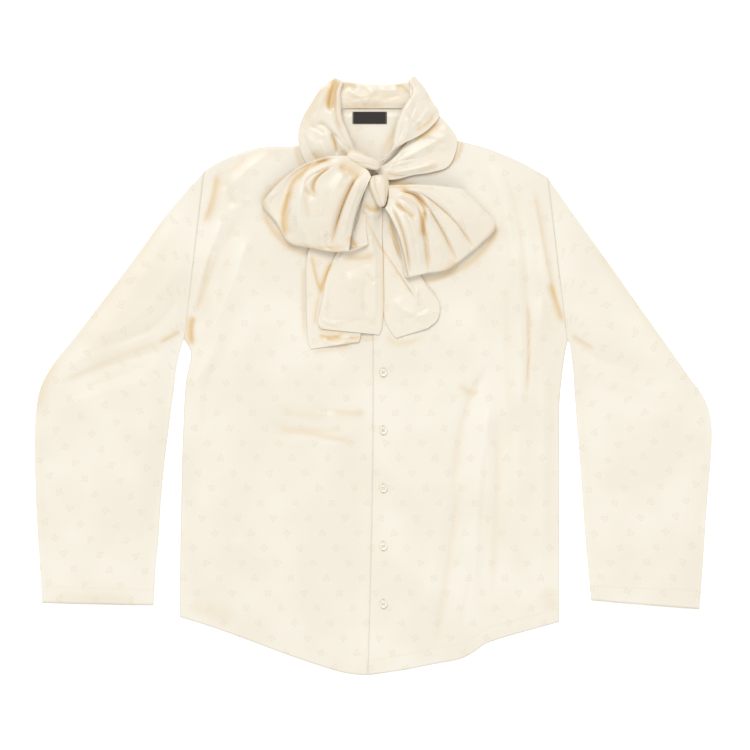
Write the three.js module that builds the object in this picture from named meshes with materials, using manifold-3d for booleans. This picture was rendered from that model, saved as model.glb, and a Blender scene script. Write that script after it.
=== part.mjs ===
// A cream silk blouse with a long tie collar knotted in a bow, laid flat on a table.
// +Z is up from the table, +Y runs from the hem to the collar, and +X is the wearer's left.
// The back lies on the table, the two fronts and the upper sides of the sleeves lie on the lower layers,
// and the collar and the bow are folded on top. The origin is under the middle of the whole garment.
import * as THREE from "three";
import { mergeVertices } from "three/addons/utils/BufferGeometryUtils.js";
import Module from "manifold-3d";

// Driving sizes, in millimetres.
const CLOTH = 1.2; // wall of one layer of the body and the sleeves
const TIE_CLOTH = 1.6; // the collar and the tie are cut double
const SEAM_GAP = 0.3; // between pieces that are sewn or lie together
const PUFF = 2.6; // air between the front and the back
const PUFF_RAMP = 55; // the front rises over this length from its edges
const LAP_WIDTH = 28; // the left front laps over the right one by this much
const LAP_LIFT = 0.6; // air under the lapped edges and under the bow
const LAP_FADE = 34; // the lap's own level reaches this far to each side, and fades over as much again
const FRONT_FLOOR = CLOTH + SEAM_GAP; // underside of a front that lies on the back
const LAP_STEP = CLOTH + SEAM_GAP; // the left front is raised by this at the lap
const BOW_SHADE = { x: 4, y: 205, rx: 176, ry: 180 }; // the fronts lie low under the bow
const BUTTON = { radius: 5.6, height: 2.4, rimWidth: 1.1, rimDepth: 0.6, holeRadius: 0.8, holeOffset: 1.5 };
const BUTTON_ROW = { x: 13.7, firstY: 4, pitch: 81, count: 5 };
const LABEL = { x: -5.3, y: 361, width: 48, height: 17, thickness: 0.8, corner: 0.8 };
const NECK_SEAM_Y = 374.5; // the back neckline, where the collar band is sewn on

const COLOURS = {
  silk: { color: 0xf3ead4, roughness: 0.42, metalness: 0 },
  pearl: { color: 0xf1e8d6, roughness: 0.25, metalness: 0 },
  label: { color: 0x2a2522, roughness: 0.8, metalness: 0 },
};

// Outlines of the body, from the hem upwards or from the wearer's right to the wearer's left.
const SIDE_RIGHT = [
  [-271.6, -338],
  [-270.9, -258],
  [-269.5, -174],
  [-266.7, -76],
  [-263, -10],
  [-256, 33],
  [-265.9, 52],
];
const SIDE_LEFT = [
  [260.4, -345],
  [260.4, -250],
  [260.4, -140],
  [260.4, -41],
  [264, -1],
  [268.5, 33],
  [272.2, 50],
];
const UNDERARM_SHARE = 0.62; // of the rows of a body panel lie below the underarm
const HEM_RIGHT = [
  [-271.6, -338],
  [-223, -353.5],
  [-177, -370],
  [-132, -387],
  [-83, -404],
  [-40, -416.5],
  [-8, -419.3],
];
const HEM_LEFT = [
  [-8, -419.3],
  [37, -413],
  [86, -404],
  [124, -396],
  [141, -387],
  [155, -377],
  [171, -370.5],
  [230, -353.5],
  [260.4, -345],
];
const SHOULDER_RIGHT = [
  [-237.3, 286.3],
  [-210.7, 301.7],
  [-161.7, 318.5],
  [-103, 323],
  [-78, 343],
  [-62, 372],
];
const SHOULDER_LEFT = [
  [62, 372],
  [84, 341],
  [115.5, 329.7],
  [157.5, 318.5],
  [199.5, 301.7],
  [244.3, 277.5],
];
const NECKLINE_RIGHT = [
  [-62, 372],
  [-58, 346],
  [-46, 322],
  [-26, 302],
  [0, 291],
];
const NECKLINE_LEFT = [
  [-1, 291],
  [28, 299],
  [48, 322],
  [59, 346],
  [62, 372],
];
const CENTRE_EDGE = [
  [-8, -419.3],
  [-4.6, -300],
  [-1, -100],
  [-0.7, 100],
  [-1, 291],
];

// Folds of the cloth, seen from above. Each is a bent line through from, via and to. rise is its height, below 0
// for a trough, and width its half width.
const FRONT_FOLDS = [
  { from: [-190, 226], via: [-219, 150], to: [-252, 62], rise: -5, width: 9 },
  { from: [-206, 232], via: [-236, 150], to: [-258, 80], rise: 5, width: 9 },
  { from: [-170, 205], via: [-202, 120], to: [-236, 40], rise: 5, width: 13 },
  { from: [-212, 78], via: [-230, 20], to: [-262, -20], rise: 4, width: 12 },
  { from: [-140, 316], via: [-175, 290], to: [-215, 250], rise: 4, width: 12 },
  { from: [-215, 300], via: [-205, 262], to: [-190, 235], rise: -4, width: 8 },
  { from: [-172, -40], via: [-104, -54], to: [-36, -58], rise: 2.4, width: 13 },
  { from: [-160, -66], via: [-96, -76], to: [-30, -76], rise: -3, width: 7 },
  { from: [-120, -92], via: [-70, -94], to: [-22, -102], rise: 2.6, width: 12 },
  { from: [-195, -225], via: [-170, -250], to: [-140, -262], rise: 3, width: 16 },
  { from: [-236, -150], via: [-240, -240], to: [-230, -320], rise: 3, width: 18 },
  { from: [-110, -200], via: [-104, -300], to: [-92, -385], rise: 3, width: 18 },
  { from: [158, 300], via: [190, 205], to: [208, 80], rise: 5, width: 11 },
  { from: [178, 290], via: [208, 190], to: [214, 40], rise: -4, width: 8 },
  { from: [208, 262], via: [236, 170], to: [226, 20], rise: 5, width: 11 },
  { from: [232, 150], via: [245, 92], to: [266, 66], rise: -5, width: 8 },
  { from: [205, 90], via: [203, -60], to: [190, -310], rise: 5, width: 13 },
  { from: [236, 30], via: [238, -120], to: [232, -300], rise: 4, width: 14 },
  { from: [166, 20], via: [126, -60], to: [112, -190], rise: -5, width: 10 },
  { from: [168, -30], via: [148, -150], to: [140, -350], rise: 6, width: 13 },
  { from: [120, -140], via: [106, -260], to: [86, -388], rise: -5, width: 11 },
  { from: [100, -160], via: [84, -270], to: [62, -385], rise: 3, width: 14 },
  { from: [174, -60], via: [172, -180], to: [166, -330], rise: -4, width: 9 },
];
const SLEEVE_FOLDS = [
  { from: [-272, 122], via: [-305, 72], to: [-372, 44], rise: -5, width: 10 },
  { from: [-262, 175], via: [-318, 92], to: [-400, 46], rise: 5, width: 16 },
  { from: [-288, 40], via: [-360, 18], to: [-452, -16], rise: -5, width: 10 },
  { from: [-292, 62], via: [-370, 34], to: [-440, 10], rise: 4, width: 11 },
  { from: [-300, -6], via: [-370, -22], to: [-462, -56], rise: 4, width: 14 },
  { from: [-340, -120], via: [-352, -210], to: [-350, -300], rise: 3, width: 26 },
  { from: [280, 62], via: [310, 26], to: [372, 12], rise: -4, width: 10 },
  { from: [276, 110], via: [318, 62], to: [392, 36], rise: 4, width: 16 },
  { from: [292, 12], via: [340, -12], to: [440, -34], rise: 4, width: 13 },
  { from: [400, 10], via: [438, -30], to: [462, -50], rise: -3, width: 9 },
  { from: [370, -90], via: [378, -190], to: [380, -290], rise: 3, width: 26 },
];
const BAND_FOLDS = [
  { from: [-36, 402], via: [-16, 390], to: [4, 404], rise: 2.4, width: 6 },
  { from: [-30, 380], via: [-6, 386], to: [34, 380], rise: 1.6, width: 5 },
  { from: [6, 402], via: [22, 398], to: [38, 402], rise: 1.6, width: 5 },
];
const COLLAR_FOLDS = [
  { from: [-47, 418], via: [-57, 394], to: [-62, 366], rise: -9, width: 5 },
  { from: [-60, 402], via: [-76, 376], to: [-84, 348], rise: 5, width: 9 },
  { from: [-54, 382], via: [-50, 348], to: [-28, 310], rise: -5, width: 4 },
  { from: [-84, 350], via: [-62, 344], to: [-50, 306], rise: -5, width: 5 },
  { from: [-72, 350], via: [-54, 338], to: [-38, 306], rise: 3, width: 5 },
  { from: [-96, 338], via: [-78, 318], to: [-62, 296], rise: 5, width: 9 },
];
const FLAP_FOLDS = [
  { from: [58, 402], via: [70, 380], to: [84, 362], rise: 4, width: 9 },
  { from: [50, 386], via: [62, 364], to: [66, 342], rise: -3, width: 7 },
  { from: [44, 362], via: [48, 344], to: [36, 318], rise: 3, width: 6 },
];
const WRAP_FOLDS = [
  { from: [22, 292], via: [60, 312], to: [108, 340], rise: 6, width: 9 },
  { from: [20, 288], via: [58, 298], to: [100, 316], rise: -2.4, width: 5 },
  { from: [20, 284], via: [54, 288], to: [92, 298], rise: 4, width: 6 },
];
const LEFT_TAIL_FOLDS = [
  { from: [-24, 240], via: [-30, 190], to: [-60, 150], rise: 2.2, width: 9 },
  { from: [-64, 150], via: [-68, 110], to: [-70, 78], rise: 3, width: 7 },
  { from: [-36, 150], via: [-30, 110], to: [-34, 70], rise: 2.5, width: 15 },
  { from: [2, 200], via: [2, 130], to: [2, 70], rise: 2, width: 9 },
];
const RIGHT_TAIL_FOLDS = [
  { from: [22, 200], via: [38, 150], to: [62, 104], rise: 1.4, width: 7 },
  { from: [36, 200], via: [56, 160], to: [80, 120], rise: 1.6, width: 8 },
  { from: [26, 110], via: [50, 86], to: [84, 84], rise: 3, width: 10 },
];
const UNDER_TAIL_FOLDS = [
  { from: [-88, 160], via: [-82, 120], to: [-84, 60], rise: 0.4, width: 6 },
];
const LEFT_LOOP_FOLDS = [
  { from: [-58, 300], via: [-120, 282], to: [-148, 232], rise: 3, width: 9 },
  { from: [-50, 300], via: [-112, 276], to: [-122, 204], rise: -7, width: 8 },
  { from: [-44, 296], via: [-96, 262], to: [-104, 188], rise: 5, width: 10 },
  { from: [-54, 292], via: [-94, 268], to: [-76, 244], rise: -5, width: 4 },
  { from: [-30, 286], via: [-58, 250], to: [-76, 180], rise: 2.5, width: 12 },
  { from: [-20, 281], via: [-43, 236], to: [-58, 176], rise: -7, width: 4 },
  { from: [-15, 275], via: [-33, 230], to: [-45, 178], rise: 4, width: 7 },
];
const RIGHT_LOOP_FOLDS = [
  { from: [28, 262], via: [92, 268], to: [150, 236], rise: 3, width: 9 },
  { from: [58, 256], via: [112, 236], to: [140, 178], rise: -3.5, width: 4 },
  { from: [48, 258], via: [98, 240], to: [126, 176], rise: 3.5, width: 9 },
  { from: [44, 258], via: [90, 238], to: [113, 156], rise: -5, width: 4 },
  { from: [32, 257], via: [72, 246], to: [70, 200], rise: 6, width: 7 },
  { from: [54, 240], via: [74, 204], to: [82, 144], rise: -8, width: 4 },
  { from: [28, 250], via: [54, 206], to: [62, 142], rise: 4.5, width: 8 },
  { from: [24, 236], via: [42, 196], to: [50, 138], rise: -5, width: 4 },
];

// Sections of the sleeves, from the armhole to the cuff. outer is on the folded edge and inner on the underarm seam.
const RIGHT_SLEEVE = [
  { outer: [-237.65, 286.3], inner: [-266.25, 52] },
  { outer: [-283, 235], inner: [-268, 45] },
  { outer: [-332, 168], inner: [-270.5, 36] },
  { outer: [-383, 100], inner: [-273.5, 24] },
  { outer: [-422, 50], inner: [-277, 4] },
  { outer: [-449, 16], inner: [-280, -22] },
  { outer: [-467, -18], inner: [-284, -52] },
  { outer: [-474.3, -62], inner: [-288, -84] },
  { outer: [-475.3, -102], inner: [-292, -116] },
  { outer: [-473.9, -152], inner: [-297, -165] },
  { outer: [-471, -219], inner: [-301, -226] },
  { outer: [-468, -262], inner: [-305, -268] },
  { outer: [-464.8, -318.5], inner: [-308, -322] },
];
const LEFT_SLEEVE = [
  { outer: [244.65, 277.5], inner: [272.55, 50] },
  { outer: [286.3, 217.7], inner: [275, 43] },
  { outer: [330, 157], inner: [276.5, 33] },
  { outer: [378, 89], inner: [278, 22] },
  { outer: [418, 33], inner: [280, 2] },
  { outer: [442, -1], inner: [281.5, -24] },
  { outer: [463, -31], inner: [283.5, -52] },
  { outer: [473, -62], inner: [286, -82] },
  { outer: [474, -98], inner: [288.5, -114] },
  { outer: [468.3, -168.7], inner: [293, -176] },
  { outer: [465, -215], inner: [296, -220] },
  { outer: [462, -262], inner: [300, -264] },
  { outer: [457, -327.6], inner: [304.5, -315] },
];
const SLEEVE = { seamAir: 0.8, puff: 3.4, armholePuff: 0.6, edge: 2.4 };

// Sections of the folded collar, from the back of the neck to the knot. roll is on the inner fold and edge on the
// outer one, crest is the height of the fold and rim that of the outer edge.
const COLLAR_RIGHT_SIDE = [
  { roll: [-42, 411], edge: [-54, 416.5], crest: 11, rim: 8.4 },
  { roll: [-46, 398], edge: [-73, 402], crest: 13, rim: 7.2 },
  { roll: [-46, 380], edge: [-87, 381], crest: 15, rim: 6.4 },
  { roll: [-44, 360], edge: [-101, 357], crest: 16, rim: 6 },
  { roll: [-37, 343], edge: [-105.5, 335], crest: 16, rim: 6 },
  { roll: [-31, 328], edge: [-102, 314], crest: 15.5, rim: 6.2 },
  { roll: [-25, 315], edge: [-88, 290], crest: 14.4, rim: 6.2 },
  { roll: [-20, 306], edge: [-60, 283], crest: 12.6, rim: 6.8 },
  { roll: [-16, 299], edge: [-34, 284], crest: 11.6, rim: 8.4 },
];
const COLLAR_LEFT_SIDE = [
  { roll: [49, 412], edge: [57, 419.3], crest: 11, rim: 9 },
  { roll: [54, 397], edge: [71, 403], crest: 13, rim: 9 },
  { roll: [47, 382], edge: [83, 383], crest: 15, rim: 8.4 },
  { roll: [39, 369], edge: [92.5, 365], crest: 16.5, rim: 9 },
  { roll: [32.5, 353], edge: [80, 347], crest: 17, rim: 11 },
  { roll: [29.5, 339], edge: [62, 334], crest: 17, rim: 12 },
  { roll: [26, 321], edge: [44, 325], crest: 17, rim: 14 },
  { roll: [18, 306], edge: [28, 314], crest: 17, rim: 14.4 },
  { roll: [11, 298], edge: [18, 304], crest: 17, rim: 15 },
];
// Sections of the tie where it comes out from under the collar's left side. near is towards the neck.
const WRAP_LEFT_SIDE = [
  { near: [72, 353], far: [94, 362.5], floor: 5 },
  { near: [64, 346], far: [107, 348], floor: 5 },
  { near: [56, 337], far: [117, 331], floor: 5 },
  { near: [48, 328], far: [114, 309], floor: 5 },
  { near: [39, 317], far: [104, 292], floor: 5.4 },
  { near: [30, 306], far: [80, 284], floor: 6 },
  { near: [20, 298], far: [55, 280], floor: 7 },
  { near: [9, 291], far: [32, 274], floor: 9 },
  { near: [2, 286], far: [14, 273], floor: 11 },
];
// Sections of the tie's hanging ends, from the knot down. floor is the height of the underside.
const LEFT_TAIL = [
  { near: [-12, 262], far: [2, 258], floor: 12 },
  { near: [-24, 226], far: [10, 226], floor: 9.4 },
  { near: [-40, 195], far: [12, 192], floor: 7.6 },
  { near: [-54, 166], far: [13.7, 166], floor: 7.4 },
  { near: [-65, 140], far: [13.5, 142], floor: 7.4 },
  { near: [-70, 115], far: [14.5, 115], floor: 7.4 },
  { near: [-75, 90], far: [14, 88], floor: 7.4 },
  { near: [-78, 73], far: [11.5, 66], floor: 7.4 },
  { near: [-73, 65], far: [8, 57], floor: 7.4 },
];
const RIGHT_TAIL = [
  { near: [4, 234], far: [24, 236], floor: 7.6 },
  { near: [8, 216], far: [34, 212], floor: 5.6 },
  { near: [12, 194], far: [46, 187], floor: 5.3 },
  { near: [14, 165], far: [59, 155], floor: 5.3 },
  { near: [15, 137], far: [71.3, 131], floor: 5.3 },
  { near: [15, 110], far: [85, 114], floor: 5.3 },
  { near: [15.5, 84], far: [92.5, 99], floor: 5.3 },
  { near: [20, 68], far: [90, 79], floor: 5.3 },
  { near: [31, 52], far: [76, 66], floor: 5.3 },
];
const UNDER_TAIL = [
  { near: [-62, 206], far: [-30, 208], floor: 5.3 },
  { near: [-86, 186], far: [-30, 190], floor: 5.3 },
  { near: [-93, 164], far: [-28, 164], floor: 5.3 },
  { near: [-94, 120], far: [-24, 122], floor: 5.3 },
  { near: [-93, 75], far: [-21, 84], floor: 5.3 },
  { near: [-91.5, 46], far: [-18, 58], floor: 5.3 },
  { near: [-88, 37], far: [-20, 47], floor: 5.3 },
];
// Lines along the cloth of each bow loop, from the knot through via to the outer fold at tip.
// rootFloor and tipFloor are the heights of the underside, and full is the greatest height of the loop.
const LEFT_LOOP = [
  { root: [-30, 302], via: [-97, 293], tip: [-157, 238], rootFloor: 16, tipFloor: 6.6, full: 13 },
  { root: [-28, 299], via: [-92, 268], tip: [-140, 210], rootFloor: 15, tipFloor: 6, full: 18 },
  { root: [-24, 293], via: [-78, 246], tip: [-122, 181], rootFloor: 14, tipFloor: 6.2, full: 21 },
  { root: [-19, 286], via: [-58, 236], tip: [-86, 174], rootFloor: 12.6, tipFloor: 9, full: 22 },
  { root: [-14, 279], via: [-38, 229], tip: [-54, 171], rootFloor: 14.5, tipFloor: 12.6, full: 19 },
  { root: [-9, 273], via: [-24, 225], tip: [-34, 172], rootFloor: 16, tipFloor: 12.6, full: 15 },
];
const RIGHT_LOOP = [
  { root: [20, 264], via: [76, 265], tip: [129, 258.6], rootFloor: 12, tipFloor: 5.6, full: 12 },
  { root: [21, 261], via: [84, 254], tip: [152, 236], rootFloor: 12, tipFloor: 5.6, full: 17 },
  { root: [21, 257], via: [90, 240], tip: [172.5, 208], rootFloor: 12, tipFloor: 5.6, full: 19 },
  { root: [21, 253], via: [84, 226], tip: [154, 182], rootFloor: 12, tipFloor: 5.6, full: 20 },
  { root: [21, 248], via: [76, 214], tip: [134, 163], rootFloor: 12, tipFloor: 5.6, full: 20 },
  { root: [20, 243], via: [64, 202], tip: [106, 144], rootFloor: 12, tipFloor: 5.8, full: 21 },
  { root: [19, 238], via: [50, 196], tip: [78, 140], rootFloor: 12, tipFloor: 8.4, full: 21 },
  { root: [16, 233], via: [36, 192], tip: [49, 134], rootFloor: 12.5, tipFloor: 9.4, full: 18 },
];
const LOOP = { rootHeight: 10, foldRadius: 4.2 };
// How far the underside of each loop reaches past its upper side at the open mouth.
const LEFT_MOUTH = [27, 10];
const RIGHT_MOUTH = [-6, 2];
// The knot's two wraps, as rounded bodies: centre, half sizes, turn about Z and the number and depth of the creases.
const CROSSING = { centre: [-16, 294, 21], half: [23, 11.5, 8.5], turn: -36, creases: 3, creaseDepth: 0.09 };
const KNOT = { centre: [10, 256, 20.5], half: [12, 24, 11.5], turn: 8, creases: 4, creaseDepth: 0.08 };
const KNOT_GAP = 0.35;

const clamp01 = (x) => Math.min(1, Math.max(0, x));
const smooth = (x) => clamp01(x) ** 2 * (3 - 2 * clamp01(x));
const mix = (a, b, share) => a + (b - a) * share;

function spline(points) {
  const vectors = points.map(([x, y, z = 0]) => new THREE.Vector3(x, y, z));
  return new THREE.CatmullRomCurve3(vectors, false, "centripetal");
}

// A smooth column of a table of sections: the value of one named column at a share from 0 to 1 of the table.
function column(rows, name) {
  const points = rows.map((row) => {
    const value = row[name];
    return Array.isArray(value) ? value : [value, 0];
  });
  const curve = spline(points);
  return (share) => curve.getPoint(clamp01(share));
}

// The fold lines are sampled once. The lift at a point comes from the nearest place on each line.
// Folds that fan out from the knot grow wider along their length.
const FOLD_STEPS = 14;
function foldField(folds, fan = false) {
  const lines = folds.map(({ from, via, to, rise, width }) => {
    const middle = [2 * via[0] - (from[0] + to[0]) / 2, 2 * via[1] - (from[1] + to[1]) / 2];
    const bend = new THREE.QuadraticBezierCurve(
      new THREE.Vector2(...from),
      new THREE.Vector2(...middle),
      new THREE.Vector2(...to),
    );
    return { points: bend.getPoints(FOLD_STEPS), rise, width };
  });
  return (x, y) => {
    let lift = 0;
    for (const { points, rise, width } of lines) {
      let nearest = Infinity;
      let along = 0;
      for (let i = 0; i < FOLD_STEPS; i++) {
        const a = points[i];
        const b = points[i + 1];
        const lengthSquared = a.distanceToSquared(b);
        const share = clamp01(((x - a.x) * (b.x - a.x) + (y - a.y) * (b.y - a.y)) / lengthSquared);
        const distance = Math.hypot(x - mix(a.x, b.x, share), y - mix(a.y, b.y, share));
        if (distance < nearest) {
          nearest = distance;
          along = (i + share) / FOLD_STEPS;
        }
      }
      const taper = smooth(along / 0.22) * smooth((1 - along) / 0.22);
      const reach = width * (fan ? mix(0.5, 1.3, along) : 1);
      lift += rise * taper * Math.exp(-((nearest / reach) ** 2));
    }
    return lift;
  };
}

// A curve through points as a function of the share of its length.
function curve(points) {
  const line = spline(points);
  return (share) => line.getPointAt(clamp01(share));
}

// A panel with four curved edges, filled in between them.
function coons({ bottom, top, left, right }) {
  const corner = [bottom(0), bottom(1), top(0), top(1)];
  return (u, v) => {
    const [b, t, l, r] = [bottom(u), top(u), left(v), right(v)];
    const fill = (axis) =>
      mix(b[axis], t[axis], v) +
      mix(l[axis], r[axis], u) -
      mix(mix(corner[0][axis], corner[1][axis], u), mix(corner[2][axis], corner[3][axis], u), v);
    return [fill("x"), fill("y")];
  };
}

function geometryOf(vertices, faces) {
  const geometry = new THREE.BufferGeometry();
  geometry.setAttribute("position", new THREE.Float32BufferAttribute(vertices.flat(), 3));
  geometry.setIndex(faces);
  return geometry;
}

// A closed wall between two grids of points, upper and lower, each with rows of equal length.
function wallBetween(upper, lower) {
  const rows = upper.length;
  const columns = upper[0].length;
  const vertices = [...upper.flat(), ...lower.flat()];
  const faces = [];
  const top = (i, j) => i * columns + j;
  const under = (i, j) => rows * columns + i * columns + j;
  const quad = (a, b, c, d) => faces.push(a, b, c, a, c, d);
  for (let i = 0; i < rows - 1; i++) {
    for (let j = 0; j < columns - 1; j++) {
      quad(top(i, j), top(i, j + 1), top(i + 1, j + 1), top(i + 1, j));
      quad(under(i, j), under(i + 1, j), under(i + 1, j + 1), under(i, j + 1));
    }
    quad(top(i, 0), top(i + 1, 0), under(i + 1, 0), under(i, 0));
    quad(top(i + 1, columns - 1), top(i, columns - 1), under(i, columns - 1), under(i + 1, columns - 1));
  }
  for (let j = 0; j < columns - 1; j++) {
    quad(top(0, j + 1), top(0, j), under(0, j), under(0, j + 1));
    quad(top(rows - 1, j), top(rows - 1, j + 1), under(rows - 1, j + 1), under(rows - 1, j));
  }
  return geometryOf(vertices, faces);
}

function grid(rows, columns, pointAt) {
  return Array.from({ length: rows + 1 }, (_, i) =>
    Array.from({ length: columns + 1 }, (_, j) => pointAt(j / columns, i / rows)),
  );
}

// A sheet that lies on what is under it: place gives x, y and the height of its underside.
function layer(rows, columns, thickness, place) {
  const lower = grid(rows, columns, place);
  const upper = lower.map((row) => row.map(([x, y, z]) => [x, y, z + thickness]));
  return wallBetween(upper, lower);
}

// A sheet that may turn over: its two faces stand half the thickness off the middle, along the middle's normal.
function foldedSheet(rows, columns, thickness, place) {
  const middle = grid(rows, columns, place);
  const at = (i, j) => new THREE.Vector3(...middle[i][j]);
  const offset = (share) =>
    middle.map((row, i) =>
      row.map((point, j) => {
        const across = at(i, Math.min(j + 1, columns)).sub(at(i, Math.max(j - 1, 0)));
        const along = at(Math.min(i + 1, rows), j).sub(at(Math.max(i - 1, 0), j));
        const normal = across.cross(along).normalize();
        return new THREE.Vector3(...point).addScaledVector(normal, share * thickness).toArray();
      }),
    );
  return wallBetween(offset(0.5), offset(-0.5));
}

// A flattened tube, open at both ends, from loops of outer points and loops of inner points.
function tube(outer, inner) {
  const loops = outer.length;
  const around = outer[0].length;
  const vertices = [...outer.flat(), ...inner.flat()];
  const faces = [];
  const out = (i, j) => i * around + (j % around);
  const within = (i, j) => loops * around + i * around + (j % around);
  const quad = (a, b, c, d) => faces.push(a, b, c, a, c, d);
  for (let j = 0; j < around; j++) {
    for (let i = 0; i < loops - 1; i++) {
      quad(out(i, j), out(i, j + 1), out(i + 1, j + 1), out(i + 1, j));
      quad(within(i, j), within(i + 1, j), within(i + 1, j + 1), within(i, j + 1));
    }
    quad(out(0, j + 1), out(0, j), within(0, j), within(0, j + 1));
    quad(out(loops - 1, j), out(loops - 1, j + 1), within(loops - 1, j + 1), within(loops - 1, j));
  }
  return geometryOf(vertices, faces);
}

// The body.
const BACK_ROWS = 14;
const FRONT_ROWS = 32;

// The side of a panel: its seam up to the underarm, and then straight along the armhole to the shoulder.
function bodySide(seam, shoulder, rows) {
  const lower = curve(seam);
  const share = Math.round(UNDERARM_SHARE * rows) / rows;
  const underarm = new THREE.Vector3(...seam.at(-1), 0);
  const end = new THREE.Vector3(...shoulder, 0);
  return (v) => (v < share ? lower(v / share) : underarm.clone().lerp(end, (v - share) / (1 - share)));
}

const frontFolds = foldField(FRONT_FOLDS);

function backPanel() {
  const place = coons({
    bottom: curve([...HEM_RIGHT, ...HEM_LEFT.slice(1)]),
    top: curve([
      ...SHOULDER_RIGHT.slice(0, -1),
      [-60, NECK_SEAM_Y - 5],
      [-44, NECK_SEAM_Y - 1],
      [0, NECK_SEAM_Y],
      [44, NECK_SEAM_Y - 1],
      [60, NECK_SEAM_Y - 5],
      ...SHOULDER_LEFT.slice(1),
    ]),
    left: bodySide(SIDE_RIGHT, SHOULDER_RIGHT[0], BACK_ROWS),
    right: bodySide(SIDE_LEFT, SHOULDER_LEFT.at(-1), BACK_ROWS),
  });
  return layer(BACK_ROWS, 16, CLOTH, (u, v) => [...place(u, v), 0]);
}

// How much a front is lifted off the back: nothing at its seams and hem, a little air within, and its folds.
function frontLift(x, y, fromSide, fromHem, fromTop) {
  const lap = smooth(2 - Math.abs(x - BUTTON_ROW.x) / LAP_FADE);
  const reach = Math.hypot((x - BOW_SHADE.x) / BOW_SHADE.rx, (y - BOW_SHADE.y) / BOW_SHADE.ry);
  const bow = smooth((1.15 - reach) / 0.3);
  const flat = Math.max(lap, bow);
  const seams = smooth(fromSide / PUFF_RAMP) * smooth(fromHem / PUFF_RAMP) * smooth(fromTop / PUFF_RAMP);
  const folds = smooth(fromSide / 18) * smooth((fromHem + 12) / 40) * smooth((fromTop + 4) / 30) * frontFolds(x, y);
  return mix(Math.max(0, PUFF * seams + folds), LAP_LIFT, flat);
}

function frontRight() {
  const place = coons({
    bottom: curve([...HEM_RIGHT, [LAP_WIDTH - 8, -415.6]]),
    top: curve([...SHOULDER_RIGHT, ...NECKLINE_RIGHT.slice(1), [LAP_WIDTH - 1, 297]]),
    left: bodySide(SIDE_RIGHT, SHOULDER_RIGHT[0], FRONT_ROWS),
    right: curve([
      [LAP_WIDTH - 8, -415.6],
      [LAP_WIDTH - 4.6, -300],
      [LAP_WIDTH - 1, -100],
      [LAP_WIDTH - 1, 297],
    ]),
  });
  return layer(FRONT_ROWS, 14, CLOTH, (u, v) => {
    const [x, y] = place(u, v);
    return [x, y, FRONT_FLOOR + frontLift(x, y, u * 290, v * 690, (1 - v) * 690)];
  });
}

function frontLeft() {
  const place = coons({
    bottom: curve(HEM_LEFT),
    top: curve([...NECKLINE_LEFT, ...SHOULDER_LEFT.slice(1)]),
    left: curve(CENTRE_EDGE),
    right: bodySide(SIDE_LEFT, SHOULDER_LEFT.at(-1), FRONT_ROWS),
  });
  return layer(FRONT_ROWS, 14, CLOTH, (u, v) => {
    const [x, y] = place(u, v);
    const lap = smooth(2.4 - (x + 2) / (LAP_WIDTH + 4));
    const lift = frontLift(x, y, (1 - u) * 265, v * 680, (1 - v) * 680);
    return [x, y, FRONT_FLOOR + LAP_STEP * lap + lift];
  });
}

// The sleeves, each one piece of cloth folded round and sewn under the arm.
const sleeveFolds = foldField(SLEEVE_FOLDS);

function sleeve(rows, wearersLeft) {
  const outerEdge = column(rows, "outer");
  const innerEdge = column(rows, "inner");
  const sections = 20;
  const underPoints = 3;
  const upperPoints = 10;
  const outer = [];
  const inner = [];
  for (let i = 0; i <= sections; i++) {
    const share = i / sections;
    const a = outerEdge(share);
    const b = innerEdge(share);
    const width = a.distanceTo(b);
    const puff = mix(SLEEVE.armholePuff, SLEEVE.puff, smooth(share * 4)) * smooth((1.12 - share) * 6);
    const heightAt = (w) => {
      const x = mix(a.x, b.x, w / width);
      const y = mix(a.y, b.y, w / width);
      const fromEdges = smooth((w - SLEEVE.edge) / 30) * smooth((width - SLEEVE.edge - w) / 30);
      const air = puff * fromEdges + sleeveFolds(x, y) * smooth(w / 16) * smooth((width - w) / 16);
      return 2 * CLOTH + SLEEVE.seamAir + Math.max(0, air);
    };
    const point = (w, z) => [mix(a.x, b.x, w / width), mix(a.y, b.y, w / width), z];
    const spread = (count) =>
      Array.from({ length: count }, (_, k) => mix(SLEEVE.edge, width - SLEEVE.edge, k / (count - 1)));
    const under = spread(underPoints);
    const over = spread(upperPoints).reverse();
    const edgeZ = CLOTH + SLEEVE.seamAir / 2;
    outer.push([
      ...under.map((w) => point(w, 0)),
      point(width, edgeZ),
      ...over.map((w) => point(w, heightAt(w))),
      point(0, edgeZ),
    ]);
    inner.push([
      ...under.map((w) => point(w, CLOTH)),
      point(width - CLOTH, edgeZ),
      ...over.map((w) => point(w, heightAt(w) - CLOTH)),
      point(CLOTH, edgeZ),
    ]);
  }
  if (wearersLeft) {
    outer.forEach((loop) => loop.reverse());
    inner.forEach((loop) => loop.reverse());
  }
  return tube(outer, inner);
}

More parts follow.
